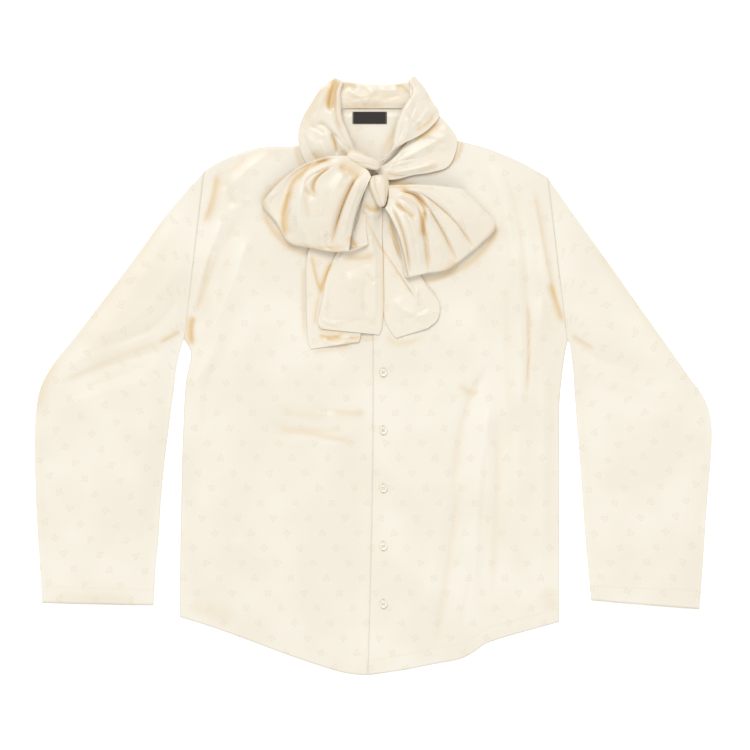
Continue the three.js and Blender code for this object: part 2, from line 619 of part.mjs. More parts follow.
// The collar and the tie.
// The band behind the neck: its outer layer lies on the table, turns over at the top and comes back to the seam.
const bandFolds = foldField(BAND_FOLDS);
function collarBand() {
  const topEdge = spline([
    [-47, 413],
    [-29, 411],
    [-13, 409],
    [18, 408],
    [33, 409],
    [51, 412.5],
  ]);
  const seam = NECK_SEAM_Y + SEAM_GAP;
  const low = TIE_CLOTH / 2;
  const turn = 1.7;
  const path = [
    ...[0, 0.45, 0.85].map((share) => ({ share, z: low })),
    ...[30, 90, 150].map((degrees) => ({ degrees })),
    ...[0.85, 0.65, 0.45, 0.25, 0].map((share) => ({ share, z: low + 2 * turn, upper: true })),
  ];
  return foldedSheet(path.length - 1, 12, TIE_CLOTH, (u, v) => {
    const { x, y } = topEdge.getPoint(u);
    const { share, degrees, z, upper } = path[Math.round(v * (path.length - 1))];
    const reach = y - turn - TIE_CLOTH / 2 - seam;
    if (degrees !== undefined) {
      const angle = THREE.MathUtils.degToRad(degrees);
      return [x, seam + reach + turn * Math.sin(angle), low + turn * (1 - Math.cos(angle))];
    }
    const placeY = seam + reach * share;
    return [x, placeY, z + (upper ? Math.max(0, bandFolds(x, placeY)) * smooth((48 - Math.abs(x)) / 14) : 0)];
  });
}

// A side of the collar: from the seam inwards as a stand, over the roll and outwards as the fall.
function collarSide(rows, folds, wearersLeft) {
  const roll = column(rows, "roll");
  const edge = column(rows, "edge");
  const crest = column(rows, "crest");
  const rim = column(rows, "rim");
  const field = foldField(folds);
  const standZ = 6.2;
  const path = [
    ...[1, 0.5].map((stand) => ({ stand })),
    ...[35, 90, 145].map((degrees) => ({ degrees })),
    ...[0, 0.08, 0.18, 0.3, 0.42, 0.56, 0.7, 0.85, 1].map((fall) => ({ fall })),
  ];
  return foldedSheet(18, path.length - 1, TIE_CLOTH, (u, v) => {
    const station = wearersLeft ? v : 1 - v;
    const a = roll(station);
    const b = edge(station);
    const width = a.distanceTo(b);
    const top = crest(station).x - TIE_CLOTH / 2;
    const low = rim(station).x - TIE_CLOTH / 2;
    const radius = (top - standZ) / 2;
    const { stand, degrees, fall } = path[Math.round(u * (path.length - 1))];
    const inset = Math.min(radius, width * 0.3);
    let reach;
    let z;
    if (stand !== undefined) {
      reach = mix(inset, Math.min(20, width * 0.55), stand);
      z = standZ;
    } else if (degrees !== undefined) {
      const angle = THREE.MathUtils.degToRad(degrees);
      reach = inset * (1 - Math.sin(angle));
      z = standZ + radius * (1 - Math.cos(angle));
    } else {
      reach = mix(inset, width, fall);
      const x = mix(a.x, b.x, reach / width);
      const y = mix(a.y, b.y, reach / width);
      const shape = mix(top, low, smooth(fall));
      z = Math.max(shape + field(x, y) * smooth(fall * 5) * smooth((1.15 - fall) * 4), low);
    }
    return [mix(a.x, b.x, reach / width), mix(a.y, b.y, reach / width), z];
  });
}

// A stretch of the tie that lies on what is under it.
function tieStretch(rows, folds, steps, across) {
  const near = column(rows, "near");
  const far = column(rows, "far");
  const floor = column(rows, "floor");
  const field = foldField(folds);
  return layer(steps, across, TIE_CLOTH, (u, v) => {
    const station = 1 - v;
    const x = mix(near(station).x, far(station).x, u);
    const y = mix(near(station).y, far(station).y, u);
    const inside = smooth(u * 6) * smooth((1 - u) * 6);
    return [x, y, floor(station).x + Math.max(0, field(x, y)) * inside];
  });
}

// A loop of the bow: out from the knot on top, round the outer fold and back underneath.
function bowLoop(rows, folds, mouth, wearersLeft) {
  const columns = Object.fromEntries(Object.keys(rows[0]).map((name) => [name, column(rows, name)]));
  const field = foldField(folds, true);
  const path = [
    ...[0, 0.12, 0.25, 0.38, 0.52, 0.68, 0.85, 1].map((share) => ({ share, side: 1 })),
    ...[40, 90, 140].map((degrees) => ({ degrees })),
    ...[1, 0.75, 0.5, 0.25, 0].map((share) => ({ share, side: -1 })),
  ];
  return foldedSheet(20, path.length - 1, TIE_CLOTH, (u, v) => {
    const across = wearersLeft ? v : 1 - v;
    const value = (name) => columns[name](across);
    const root = value("root");
    const via = value("via");
    const tip = value("tip");
    const length = root.distanceTo(tip);
    const turn = LOOP.foldRadius / length;
    const { share, side, degrees } = path[Math.round(u * (path.length - 1))];
    const angle = THREE.MathUtils.degToRad(degrees ?? 0);
    const q = degrees === undefined ? share * (1 - turn) : 1 - turn + turn * Math.sin(angle);
    const bend = (axis) => {
      const control = 2 * via[axis] - (root[axis] + tip[axis]) / 2;
      return (1 - q) ** 2 * root[axis] + 2 * q * (1 - q) * control + q ** 2 * tip[axis];
    };
    let x = bend("x");
    let y = bend("y");
    const floor = mix(value("rootFloor").x, value("tipFloor").x, q) + TIE_CLOTH / 2;
    const middle = floor + LOOP.foldRadius;
    let z;
    if (degrees !== undefined) {
      z = middle + LOOP.foldRadius * Math.cos(angle);
    } else if (side < 0) {
      z = floor;
    } else {
      const swell = Math.sin(Math.PI * Math.min(1, q / (1 - turn)) ** 0.85);
      const rootLift = (LOOP.rootHeight - 2 * LOOP.foldRadius) * (1 - q);
      const plain = floor + 2 * LOOP.foldRadius + rootLift + (value("full").x - 2 * LOOP.foldRadius) * swell * 0.8;
      z = Math.max(plain + field(x, y) * smooth(q * 5) * smooth((1.08 - q) * 5), floor + 2 * LOOP.foldRadius - 1);
    }
    const underSide = degrees === undefined ? (side < 0 ? 1 : 0) : smooth((degrees - 30) / 120);
    const openness = underSide * across ** 4 * q;
    x += mouth[0] * openness;
    y += mouth[1] * openness;
    return [x, y, z];
  });
}

// A rounded wrap of the knot, with creases that run along it.
function knotWrap({ centre, half, turn, creases, creaseDepth }, grow = 0) {
  const ball = new THREE.SphereGeometry(1, 18, 12).rotateZ(Math.PI / 2);
  ball.deleteAttribute("normal");
  ball.deleteAttribute("uv");
  const merged = mergeVertices(ball, 1e-4);
  const place = merged.getAttribute("position");
  for (let i = 0; i < place.count; i++) {
    const [x, y, z] = [place.getX(i), place.getY(i), place.getZ(i)];
    const girth = Math.hypot(y, z);
    const angle = Math.atan2(z, y);
    const crease = 1 - creaseDepth * girth * (0.5 + 0.5 * Math.cos(creases * 2 * angle));
    const blunt = 1 / (Math.abs(x) ** 2.6 + girth ** 2.6) ** (1 / 2.6);
    place.setXYZ(
      i,
      x * blunt * (half[0] + grow),
      y * blunt * crease * (half[1] + grow),
      z * blunt * crease * (half[2] + grow),
    );
  }
  return merged.rotateZ(THREE.MathUtils.degToRad(turn)).translate(...centre);
}

// The hard pieces.
function circle(radius, sides, x = 0, y = 0) {
  return Array.from({ length: sides }, (_, k) => {
    const angle = (2 * Math.PI * (k + 0.5)) / sides;
    return new THREE.Vector2(x + radius * Math.cos(angle), y + radius * Math.sin(angle));
  });
}

// A four-hole button with a raised rim.
function button(x, y, seat) {
  const { radius, height, rimWidth, rimDepth, holeRadius, holeOffset } = BUTTON;
  const disc = new THREE.Shape(circle(radius, 18));
  for (const [a, b] of [[1, 1], [-1, 1], [-1, -1], [1, -1]]) {
    const reach = holeOffset / Math.SQRT2;
    disc.holes.push(new THREE.Path(circle(holeRadius, 6, a * reach, b * reach)));
  }
  const well = new THREE.Shape(circle(radius - rimWidth, 18));
  const body = new THREE.ExtrudeGeometry(disc, { depth: height, bevelEnabled: false });
  const cutter = new THREE.ExtrudeGeometry(well, { depth: height, bevelEnabled: false });
  cutter.translate(0, 0, height - rimDepth);
  return geometryFrom(solidFrom(body).subtract(solidFrom(cutter))).translate(x, y, seat);
}

function neckLabel() {
  const { x, y, width, height, thickness, corner } = LABEL;
  const shape = new THREE.Shape();
  const [w, h] = [width / 2, height / 2];
  shape.moveTo(-w + corner, -h).lineTo(w - corner, -h).lineTo(w, -h + corner).lineTo(w, h - corner);
  shape.lineTo(w - corner, h).lineTo(-w + corner, h).lineTo(-w, h - corner).lineTo(-w, -h + corner);
  const plate = new THREE.ExtrudeGeometry(shape, { depth: thickness, bevelEnabled: false });
  return plate.translate(x, y, CLOTH + SEAM_GAP);
}

// Cutting with manifold-3d.
const wasm = await Module();
wasm.setup();

function solidFrom(geometry) {
  const plain = geometry.index ? geometry.toNonIndexed() : geometry.clone();
  const bare = new THREE.BufferGeometry().setAttribute("position", plain.getAttribute("position"));
  const merged = mergeVertices(bare, 1e-4);
  return new wasm.Manifold(
    new wasm.Mesh({
      numProp: 3,
      vertProperties: merged.getAttribute("position").array,
      triVerts: new Uint32Array(merged.index.array),
    }),
  );
}

function geometryFrom(solid) {
  const mesh = solid.getMesh();
  const geometry = new THREE.BufferGeometry();
  geometry.setAttribute("position", new THREE.BufferAttribute(mesh.vertProperties.slice(), 3));
  geometry.setIndex(new THREE.BufferAttribute(mesh.triVerts.slice(), 1));
  return geometry;
}

// What is left of a piece where the knot's wraps pass: its largest part, clear of them.
const wraps = [knotWrap(CROSSING, KNOT_GAP), knotWrap(KNOT, KNOT_GAP)].map(solidFrom);
function clearOfKnot(geometry) {
  let solid = solidFrom(geometry);
  for (const wrap of wraps) solid = solid.subtract(wrap);
  const parts = solid.decompose();
  parts.sort((a, b) => b.volume() - a.volume());
  return geometryFrom(parts[0]);
}

const group = new THREE.Group();
function addPiece(name, geometry, look) {
  const mesh = new THREE.Mesh(geometry, new THREE.MeshStandardMaterial(look));
  mesh.name = name;
  group.add(mesh);
}

addPiece("back", backPanel(), COLOURS.silk);
addPiece("front_right", frontRight(), COLOURS.silk);
addPiece("front_left", frontLeft(), COLOURS.silk);
addPiece("sleeve_right", sleeve(RIGHT_SLEEVE, false), COLOURS.silk);
addPiece("sleeve_left", sleeve(LEFT_SLEEVE, true), COLOURS.silk);
addPiece("collar_band", collarBand(), COLOURS.silk);
addPiece("collar_right", clearOfKnot(collarSide(COLLAR_RIGHT_SIDE, COLLAR_FOLDS, false)), COLOURS.silk);
addPiece("collar_left", clearOfKnot(collarSide(COLLAR_LEFT_SIDE, FLAP_FOLDS, true)), COLOURS.silk);
addPiece("tie_wrap_left", clearOfKnot(tieStretch(WRAP_LEFT_SIDE, WRAP_FOLDS, 16, 10)), COLOURS.silk);
addPiece("tail_left", clearOfKnot(tieStretch(RIGHT_TAIL, RIGHT_TAIL_FOLDS, 14, 8)), COLOURS.silk);
addPiece("tail_right", clearOfKnot(tieStretch(LEFT_TAIL, LEFT_TAIL_FOLDS, 16, 10)), COLOURS.silk);
addPiece("tail_right_under", tieStretch(UNDER_TAIL, UNDER_TAIL_FOLDS, 8, 5), COLOURS.silk);
addPiece("bow_loop_right", clearOfKnot(bowLoop(LEFT_LOOP, LEFT_LOOP_FOLDS, LEFT_MOUTH, false)), COLOURS.silk);
addPiece("bow_loop_left", clearOfKnot(bowLoop(RIGHT_LOOP, RIGHT_LOOP_FOLDS, RIGHT_MOUTH, true)), COLOURS.silk);
addPiece("tie_crossing", geometryFrom(solidFrom(knotWrap(CROSSING)).subtract(wraps[1])), COLOURS.silk);
addPiece("bow_knot", knotWrap(KNOT), COLOURS.silk);
addPiece("neck_label", neckLabel(), COLOURS.label);
const buttonSeat = FRONT_FLOOR + LAP_STEP + LAP_LIFT + CLOTH + SEAM_GAP;
for (let i = 0; i < BUTTON_ROW.count; i++) {
  const y = BUTTON_ROW.firstY - i * BUTTON_ROW.pitch;
  addPiece(`button_${i + 1}`, button(BUTTON_ROW.x, y, buttonSeat), COLOURS.pearl);
}

export default group;
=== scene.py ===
import bmesh
import bpy
import numpy as np
from bpy.props import FloatProperty, PointerProperty, StringProperty
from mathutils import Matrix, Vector


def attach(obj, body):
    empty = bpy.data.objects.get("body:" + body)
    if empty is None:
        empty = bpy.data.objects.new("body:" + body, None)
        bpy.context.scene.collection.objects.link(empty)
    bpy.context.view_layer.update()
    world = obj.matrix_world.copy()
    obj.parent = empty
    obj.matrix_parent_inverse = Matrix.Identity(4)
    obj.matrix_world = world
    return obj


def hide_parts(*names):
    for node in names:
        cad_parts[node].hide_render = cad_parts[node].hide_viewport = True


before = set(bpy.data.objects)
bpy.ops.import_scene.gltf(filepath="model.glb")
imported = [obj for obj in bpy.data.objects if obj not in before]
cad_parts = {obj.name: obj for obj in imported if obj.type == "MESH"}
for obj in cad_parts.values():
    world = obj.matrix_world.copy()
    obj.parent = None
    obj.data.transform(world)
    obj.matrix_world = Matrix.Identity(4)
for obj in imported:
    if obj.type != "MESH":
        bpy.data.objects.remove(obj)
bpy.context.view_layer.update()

bl_info = {
    "name": "Tie Collar Blouse",
    "version": (1, 0, 0),
    "blender": (4, 5, 0),
    "location": "View3D > Sidebar > Blouse",
    "description": "Dresses a satin blouse that lies flat, with a bow at its folded tie collar",
    "category": "Add Mesh",
}

MM = 0.001

# Sizes in millimetres: layers of cloth, the fronts' puff and lap, and what is sewn on.
CLOTH = 1.2
TIE_CLOTH = 1.6
SEAM_GAP = 0.3
PUFF = 2.6
PUFF_RAMP = 55
LAP_WIDTH = 28
LAP_LIFT = 0.6
LAP_FADE = 34
BOW_SHADE = {"x": 4, "y": 205, "rx": 176, "ry": 180}
BUTTON = {"radius": 5.6, "height": 2.4, "rim_depth": 0.6, "hole_radius": 0.75, "hole_offset": 1.15}
BUTTON_ROW = {"x": 13.7, "first_y": 4, "pitch": 81, "count": 5}
LABEL = {"x": -5.3, "y": 361, "width": 48, "height": 17, "thickness": 0.8}
NECK_SEAM_Y = 374.5
# Outlines of the body in millimetres, from the hem upwards or from the wearer's right to the left.
SIDE_RIGHT = [
    (-271.6, -338),
    (-270.9, -258),
    (-269.5, -174),
    (-266.7, -76),
    (-263, -10),
    (-256, 33),
    (-265.9, 52),
]
SIDE_LEFT = [
    (260.4, -345),
    (260.4, -250),
    (260.4, -140),
    (260.4, -41),
    (264, -1),
    (268.5, 33),
    (272.2, 50),
]
HEM_RIGHT = [
    (-271.6, -338),
    (-223, -353.5),
    (-177, -370),
    (-132, -387),
    (-83, -404),
    (-40, -416.5),
    (-8, -419.3),
]
HEM_LEFT = [
    (-8, -419.3),
    (37, -413),
    (86, -404),
    (124, -396),
    (141, -387),
    (155, -377),
    (171, -370.5),
    (230, -353.5),
    (260.4, -345),
]
SHOULDER_RIGHT = [
    (-237.3, 286.3),
    (-210.7, 301.7),
    (-161.7, 318.5),
    (-103, 323),
    (-78, 343),
    (-62, 372),
]
SHOULDER_LEFT = [
    (62, 372),
    (84, 341),
    (115.5, 329.7),
    (157.5, 318.5),
    (199.5, 301.7),
    (244.3, 277.5),
]
NECKLINE_RIGHT = [
    (-62, 372),
    (-58, 346),
    (-46, 322),
    (-26, 302),
    (0, 291),
]
NECKLINE_LEFT = [
    (-1, 291),
    (28, 299),
    (48, 322),
    (59, 346),
    (62, 372),
]
CENTRE_EDGE = [
    (-8, -419.3),
    (-4.6, -300),
    (-1, -100),
    (-0.7, 100),
    (-1, 291),
]
# Folds: from the start through a point on the way to the end, with height and width. Below 0 is a groove.
FRONT_FOLDS = [
    {"start": (-190, 226), "via": (-219, 150), "end": (-252, 62), "rise": -5, "width": 9},
    {"start": (-206, 232), "via": (-236, 150), "end": (-258, 80), "rise": 5, "width": 9},
    {"start": (-170, 205), "via": (-202, 120), "end": (-236, 40), "rise": 5, "width": 13},
    {"start": (-212, 78), "via": (-230, 20), "end": (-262, -20), "rise": 4, "width": 12},
    {"start": (-140, 316), "via": (-175, 290), "end": (-215, 250), "rise": 4, "width": 12},
    {"start": (-215, 300), "via": (-205, 262), "end": (-190, 235), "rise": -4, "width": 8},
    {"start": (-172, -40), "via": (-104, -54), "end": (-36, -58), "rise": 1.5, "width": 13},
    {"start": (-160, -66), "via": (-96, -76), "end": (-30, -76), "rise": -2.2, "width": 9},
    {"start": (-120, -92), "via": (-70, -94), "end": (-22, -102), "rise": 1.5, "width": 12},
    {"start": (-195, -225), "via": (-170, -250), "end": (-140, -262), "rise": 3, "width": 16},
    {"start": (-236, -150), "via": (-240, -240), "end": (-230, -320), "rise": 3, "width": 18},
    {"start": (-110, -200), "via": (-104, -300), "end": (-92, -385), "rise": 3, "width": 18},
    {"start": (158, 300), "via": (190, 205), "end": (208, 80), "rise": 5, "width": 11},
    {"start": (178, 290), "via": (208, 190), "end": (214, 40), "rise": -4, "width": 8},
    {"start": (208, 262), "via": (236, 170), "end": (226, 20), "rise": 5, "width": 11},
    {"start": (232, 150), "via": (245, 92), "end": (266, 66), "rise": -5, "width": 8},
    {"start": (205, 90), "via": (203, -60), "end": (190, -310), "rise": 5, "width": 13},
    {"start": (236, 30), "via": (238, -120), "end": (232, -300), "rise": 4, "width": 14},
    {"start": (166, 20), "via": (126, -60), "end": (112, -190), "rise": -5, "width": 10},
    {"start": (168, -30), "via": (148, -150), "end": (140, -350), "rise": 6, "width": 13},
    {"start": (120, -140), "via": (106, -260), "end": (86, -388), "rise": -5, "width": 11},
    {"start": (100, -160), "via": (84, -270), "end": (62, -385), "rise": 3, "width": 14},
    {"start": (174, -60), "via": (172, -180), "end": (166, -330), "rise": -4, "width": 9},
]
SLEEVE_FOLDS = [
    {"start": (-272, 122), "via": (-305, 72), "end": (-372, 44), "rise": -5, "width": 10},
    {"start": (-262, 175), "via": (-318, 92), "end": (-400, 46), "rise": 5, "width": 16},
    {"start": (-288, 40), "via": (-360, 18), "end": (-452, -16), "rise": -5, "width": 10},
    {"start": (-292, 62), "via": (-370, 34), "end": (-440, 10), "rise": 4, "width": 11},
    {"start": (-300, -6), "via": (-370, -22), "end": (-462, -56), "rise": 4, "width": 14},
    {"start": (-340, -120), "via": (-352, -210), "end": (-350, -300), "rise": 3, "width": 26},
    {"start": (280, 62), "via": (310, 26), "end": (372, 12), "rise": -4, "width": 10},
    {"start": (276, 110), "via": (318, 62), "end": (392, 36), "rise": 4, "width": 16},
    {"start": (292, 12), "via": (340, -12), "end": (440, -34), "rise": 4, "width": 13},
    {"start": (400, 10), "via": (438, -30), "end": (462, -50), "rise": -3, "width": 9},
    {"start": (370, -90), "via": (378, -190), "end": (380, -290), "rise": 3, "width": 26},
]
BAND_FOLDS = [
    {"start": (-36, 402), "via": (-16, 390), "end": (4, 404), "rise": 2.4, "width": 6},
    {"start": (-30, 380), "via": (-6, 386), "end": (34, 380), "rise": 1.6, "width": 5},
    {"start": (6, 402), "via": (22, 398), "end": (38, 402), "rise": 1.6, "width": 5},
]
COLLAR_FOLDS = [
    {"start": (-47, 418), "via": (-57, 394), "end": (-62, 366), "rise": -9, "width": 5},
    {"start": (-60, 402), "via": (-76, 376), "end": (-84, 348), "rise": 3, "width": 9},
    {"start": (-54, 382), "via": (-50, 348), "end": (-28, 310), "rise": -5, "width": 4},
    {"start": (-84, 350), "via": (-62, 344), "end": (-50, 306), "rise": -3.4, "width": 5},
    {"start": (-72, 350), "via": (-54, 338), "end": (-38, 306), "rise": 1.6, "width": 5},
    {"start": (-96, 338), "via": (-78, 318), "end": (-62, 296), "rise": 1.2, "width": 9},
]
FLAP_FOLDS = [
    {"start": (58, 402), "via": (70, 380), "end": (84, 362), "rise": 2.6, "width": 9},
    {"start": (50, 386), "via": (62, 364), "end": (66, 342), "rise": -1.6, "width": 7},
    {"start": (44, 362), "via": (48, 344), "end": (36, 318), "rise": 1.6, "width": 6},
]
WRAP_FOLDS = [
    {"start": (22, 292), "via": (60, 312), "end": (108, 340), "rise": 3.6, "width": 9},
    {"start": (20, 288), "via": (58, 298), "end": (100, 316), "rise": -2.4, "width": 5},
    {"start": (20, 284), "via": (54, 288), "end": (92, 298), "rise": 2.4, "width": 6},
]
RIGHT_TAIL_FOLDS = [
    {"start": (-24, 240), "via": (-30, 190), "end": (-60, 150), "rise": 2.2, "width": 9},
    {"start": (-64, 150), "via": (-68, 110), "end": (-70, 78), "rise": 3, "width": 7},
    {"start": (-36, 150), "via": (-30, 110), "end": (-34, 70), "rise": 2.5, "width": 15},
    {"start": (2, 200), "via": (2, 130), "end": (2, 70), "rise": 2, "width": 9},
]
LEFT_TAIL_FOLDS = [
    {"start": (22, 200), "via": (38, 150), "end": (62, 104), "rise": 1.4, "width": 7},
    {"start": (36, 200), "via": (56, 160), "end": (80, 120), "rise": 1.6, "width": 8},
    {"start": (26, 110), "via": (50, 88), "end": (84, 86), "rise": 1.8, "width": 10},
]
UNDER_TAIL_FOLDS = [
    {"start": (-88, 160), "via": (-82, 120), "end": (-84, 60), "rise": 0.8, "width": 5},
    {"start": (-72, 54), "via": (-54, 44), "end": (-30, 50), "rise": 1.6, "width": 4},
    {"start": (-66, 48), "via": (-48, 52), "end": (-26, 44), "rise": -0.8, "width": 3},
    {"start": (-90, 76), "via": (-84, 58), "end": (-86, 44), "rise": -0.8, "width": 3},
    {"start": (-56, 60), "via": (-44, 52), "end": (-26, 56), "rise": 1.2, "width": 3},
]
RIGHT_LOOP_FOLDS = [
    {"start": (-58, 300), "via": (-120, 282), "end": (-148, 232), "rise": 3, "width": 9},
    {"start": (-50, 300), "via": (-112, 276), "end": (-122, 204), "rise": -7, "width": 8},
    {"start": (-44, 296), "via": (-96, 262), "end": (-104, 188), "rise": 5, "width": 10},
    {"start": (-54, 292), "via": (-94, 268), "end": (-76, 244), "rise": -5, "width": 4},
    {"start": (-30, 286), "via": (-58, 250), "end": (-76, 180), "rise": 2.5, "width": 12},
    {"start": (-20, 281), "via": (-43, 236), "end": (-59, 174), "rise": -5.5, "width": 4},
    {"start": (-15, 275), "via": (-33, 230), "end": (-45, 178), "rise": 4, "width": 7},
]
LEFT_LOOP_FOLDS = [
    {"start": (28, 262), "via": (92, 268), "end": (150, 236), "rise": 3, "width": 9},
    {"start": (50, 261), "via": (103, 224), "end": (142, 172), "rise": -2.6, "width": 4},
    {"start": (48, 258), "via": (98, 240), "end": (126, 176), "rise": 3.5, "width": 9},
    {"start": (46, 262), "via": (87, 216), "end": (119, 150), "rise": -4, "width": 4},
    {"start": (32, 257), "via": (72, 246), "end": (70, 200), "rise": 6, "width": 7},
    {"start": (60, 240), "via": (72, 196), "end": (78, 142), "rise": -5.5, "width": 4},
    {"start": (28, 250), "via": (54, 206), "end": (62, 142), "rise": 4.5, "width": 8},
    {"start": (24, 236), "via": (43, 194), "end": (51, 138), "rise": -4, "width": 3.4},
]
# A sleeve's outer and inner edge, from the armhole to the cuff. Left and right are the wearer's.
RIGHT_SLEEVE = [
    {"outer": (-237.1, 286.3), "inner": (-265.7, 52)},
    {"outer": (-283, 235), "inner": (-268, 45)},
    {"outer": (-332, 168), "inner": (-270.5, 36)},
    {"outer": (-383, 100), "inner": (-273.5, 24)},
    {"outer": (-422, 50), "inner": (-277, 4)},
    {"outer": (-449, 16), "inner": (-280, -22)},
    {"outer": (-467, -18), "inner": (-284, -52)},
    {"outer": (-474.3, -62), "inner": (-288, -84)},
    {"outer": (-475.3, -102), "inner": (-292, -116)},
    {"outer": (-473.9, -152), "inner": (-297, -165)},
    {"outer": (-471, -219), "inner": (-301, -226)},
    {"outer": (-468, -262), "inner": (-305, -268)},
    {"outer": (-464.8, -318.5), "inner": (-308, -322)},
]
LEFT_SLEEVE = [
    {"outer": (244.1, 277.5), "inner": (272, 50)},
    {"outer": (286.3, 217.7), "inner": (275, 43)},
    {"outer": (330, 157), "inner": (276.5, 33)},
    {"outer": (378, 89), "inner": (278, 22)},
    {"outer": (418, 33), "inner": (280, 2)},
    {"outer": (442, -1), "inner": (281.5, -24)},
    {"outer": (463, -31), "inner": (283.5, -52)},
    {"outer": (473, -62), "inner": (286, -82)},
    {"outer": (474, -98), "inner": (288.5, -114)},
    {"outer": (468.3, -168.7), "inner": (293, -176)},
    {"outer": (465, -215), "inner": (296, -220)},
    {"outer": (462, -262), "inner": (300, -264)},
    {"outer": (457, -327.6), "inner": (304.5, -315)},
]
SLEEVE = {"seam_air": 0.8, "puff": 3.4, "edge": 2.4}
# Rows across a side of the collar: its roll and its edge, and how high each of them lies.
COLLAR_RIGHT_SIDE = [
    {"roll": (-42, 411), "edge": (-54, 416.5), "crest": 11, "rim": 8.4},
    {"roll": (-46, 398), "edge": (-73, 402), "crest": 13, "rim": 7.2},
    {"roll": (-46, 380), "edge": (-87, 381), "crest": 15, "rim": 6.4},
    {"roll": (-44, 360), "edge": (-101, 357), "crest": 16, "rim": 6},
    {"roll": (-37, 343), "edge": (-105.5, 335), "crest": 16, "rim": 6},
    {"roll": (-31, 328), "edge": (-102, 314), "crest": 15.5, "rim": 6.2},
    {"roll": (-25, 315), "edge": (-88, 290), "crest": 14.4, "rim": 6.2},
    {"roll": (-20, 306), "edge": (-60, 283), "crest": 12.6, "rim": 6.8},
    {"roll": (-16, 299), "edge": (-34, 284), "crest": 11.6, "rim": 8.4},
]
COLLAR_LEFT_SIDE = [
    {"roll": (49, 412), "edge": (57, 419.3), "crest": 11, "rim": 9},
    {"roll": (54, 397), "edge": (71, 403), "crest": 13, "rim": 9},
    {"roll": (47, 382), "edge": (83, 383), "crest": 15, "rim": 8.4},
    {"roll": (39, 369), "edge": (92.5, 365), "crest": 16.5, "rim": 9},
    {"roll": (32.5, 353), "edge": (80, 347), "crest": 17, "rim": 11},
    {"roll": (29.5, 339), "edge": (62, 334), "crest": 17, "rim": 12},
    {"roll": (26, 321), "edge": (44, 325), "crest": 17, "rim": 14},
    {"roll": (18, 306), "edge": (28, 314), "crest": 17, "rim": 14.4},
    {"roll": (11, 298), "edge": (18, 304), "crest": 17, "rim": 15},
]
WRAP_LEFT_SIDE = [
    {"near": (72, 353), "far": (94, 362.5), "floor": 5},
    {"near": (64, 346), "far": (107, 348), "floor": 5},
    {"near": (56, 337), "far": (117, 331), "floor": 5},
    {"near": (48, 328), "far": (114, 309), "floor": 5},
    {"near": (39, 317), "far": (104, 292), "floor": 5.4},
    {"near": (30, 306), "far": (80, 284), "floor": 6},
    {"near": (20, 298), "far": (55, 280), "floor": 7},
    {"near": (9, 291), "far": (32, 274), "floor": 9},
    {"near": (2, 286), "far": (14, 273), "floor": 11},
]
# Rows across a hanging end: its near and far edge, and the height that it lies at.
RIGHT_TAIL = [
    {"near": (-9, 270), "far": (8, 268), "floor": 21, "far_floor": 20},
    {"near": (-20, 228), "far": (12, 226), "floor": 14.6, "far_floor": 8.6},
    {"near": (-38, 195), "far": (12, 192), "floor": 10.4, "far_floor": 6.6},
    {"near": (-54, 166), "far": (13.7, 166), "floor": 8, "far_floor": 5.3},
    {"near": (-65, 140), "far": (13.7, 142), "floor": 7.4, "far_floor": 5.3},
    {"near": (-70, 115), "far": (14.5, 115), "floor": 7.4, "far_floor": 5.3},
    {"near": (-75, 90), "far": (14, 88), "floor": 7.4, "far_floor": 5.3},
    {"near": (-78, 73), "far": (11.5, 66), "floor": 7.4, "far_floor": 5.3},
    {"near": (-73, 65), "far": (8, 57), "floor": 7.4, "far_floor": 5.3},
]
LEFT_TAIL = [
    {"near": (4, 234), "far": (24, 236), "floor": 7.6},
    {"near": (8, 216), "far": (34, 212), "floor": 5.6},
    {"near": (12, 194), "far": (46, 187), "floor": 5.3},
    {"near": (13.9, 165), "far": (59, 155), "floor": 5.3},
    {"near": (14, 137), "far": (71.3, 131), "floor": 5.3},
    {"near": (14.8, 110), "far": (85, 114), "floor": 5.3},
    {"near": (14.6, 84), "far": (92.5, 99), "floor": 5.3},
    {"near": (20, 68), "far": (90, 79), "floor": 5.3},
    {"near": (31, 52), "far": (76, 66), "floor": 5.3},
]
UNDER_TAIL = [
    {"near": (-62, 206), "far": (-30, 208), "floor": 5.3},
    {"near": (-86, 186), "far": (-30, 190), "floor": 5.3},
    {"near": (-93, 164), "far": (-28, 164), "floor": 5.3},
    {"near": (-94, 120), "far": (-24, 122), "floor": 5.3},
    {"near": (-93, 75), "far": (-21, 84), "floor": 5.3},
    {"near": (-91.5, 46), "far": (-18, 58), "floor": 5.3},
    {"near": (-88, 37), "far": (-20, 47), "floor": 5.3},
]
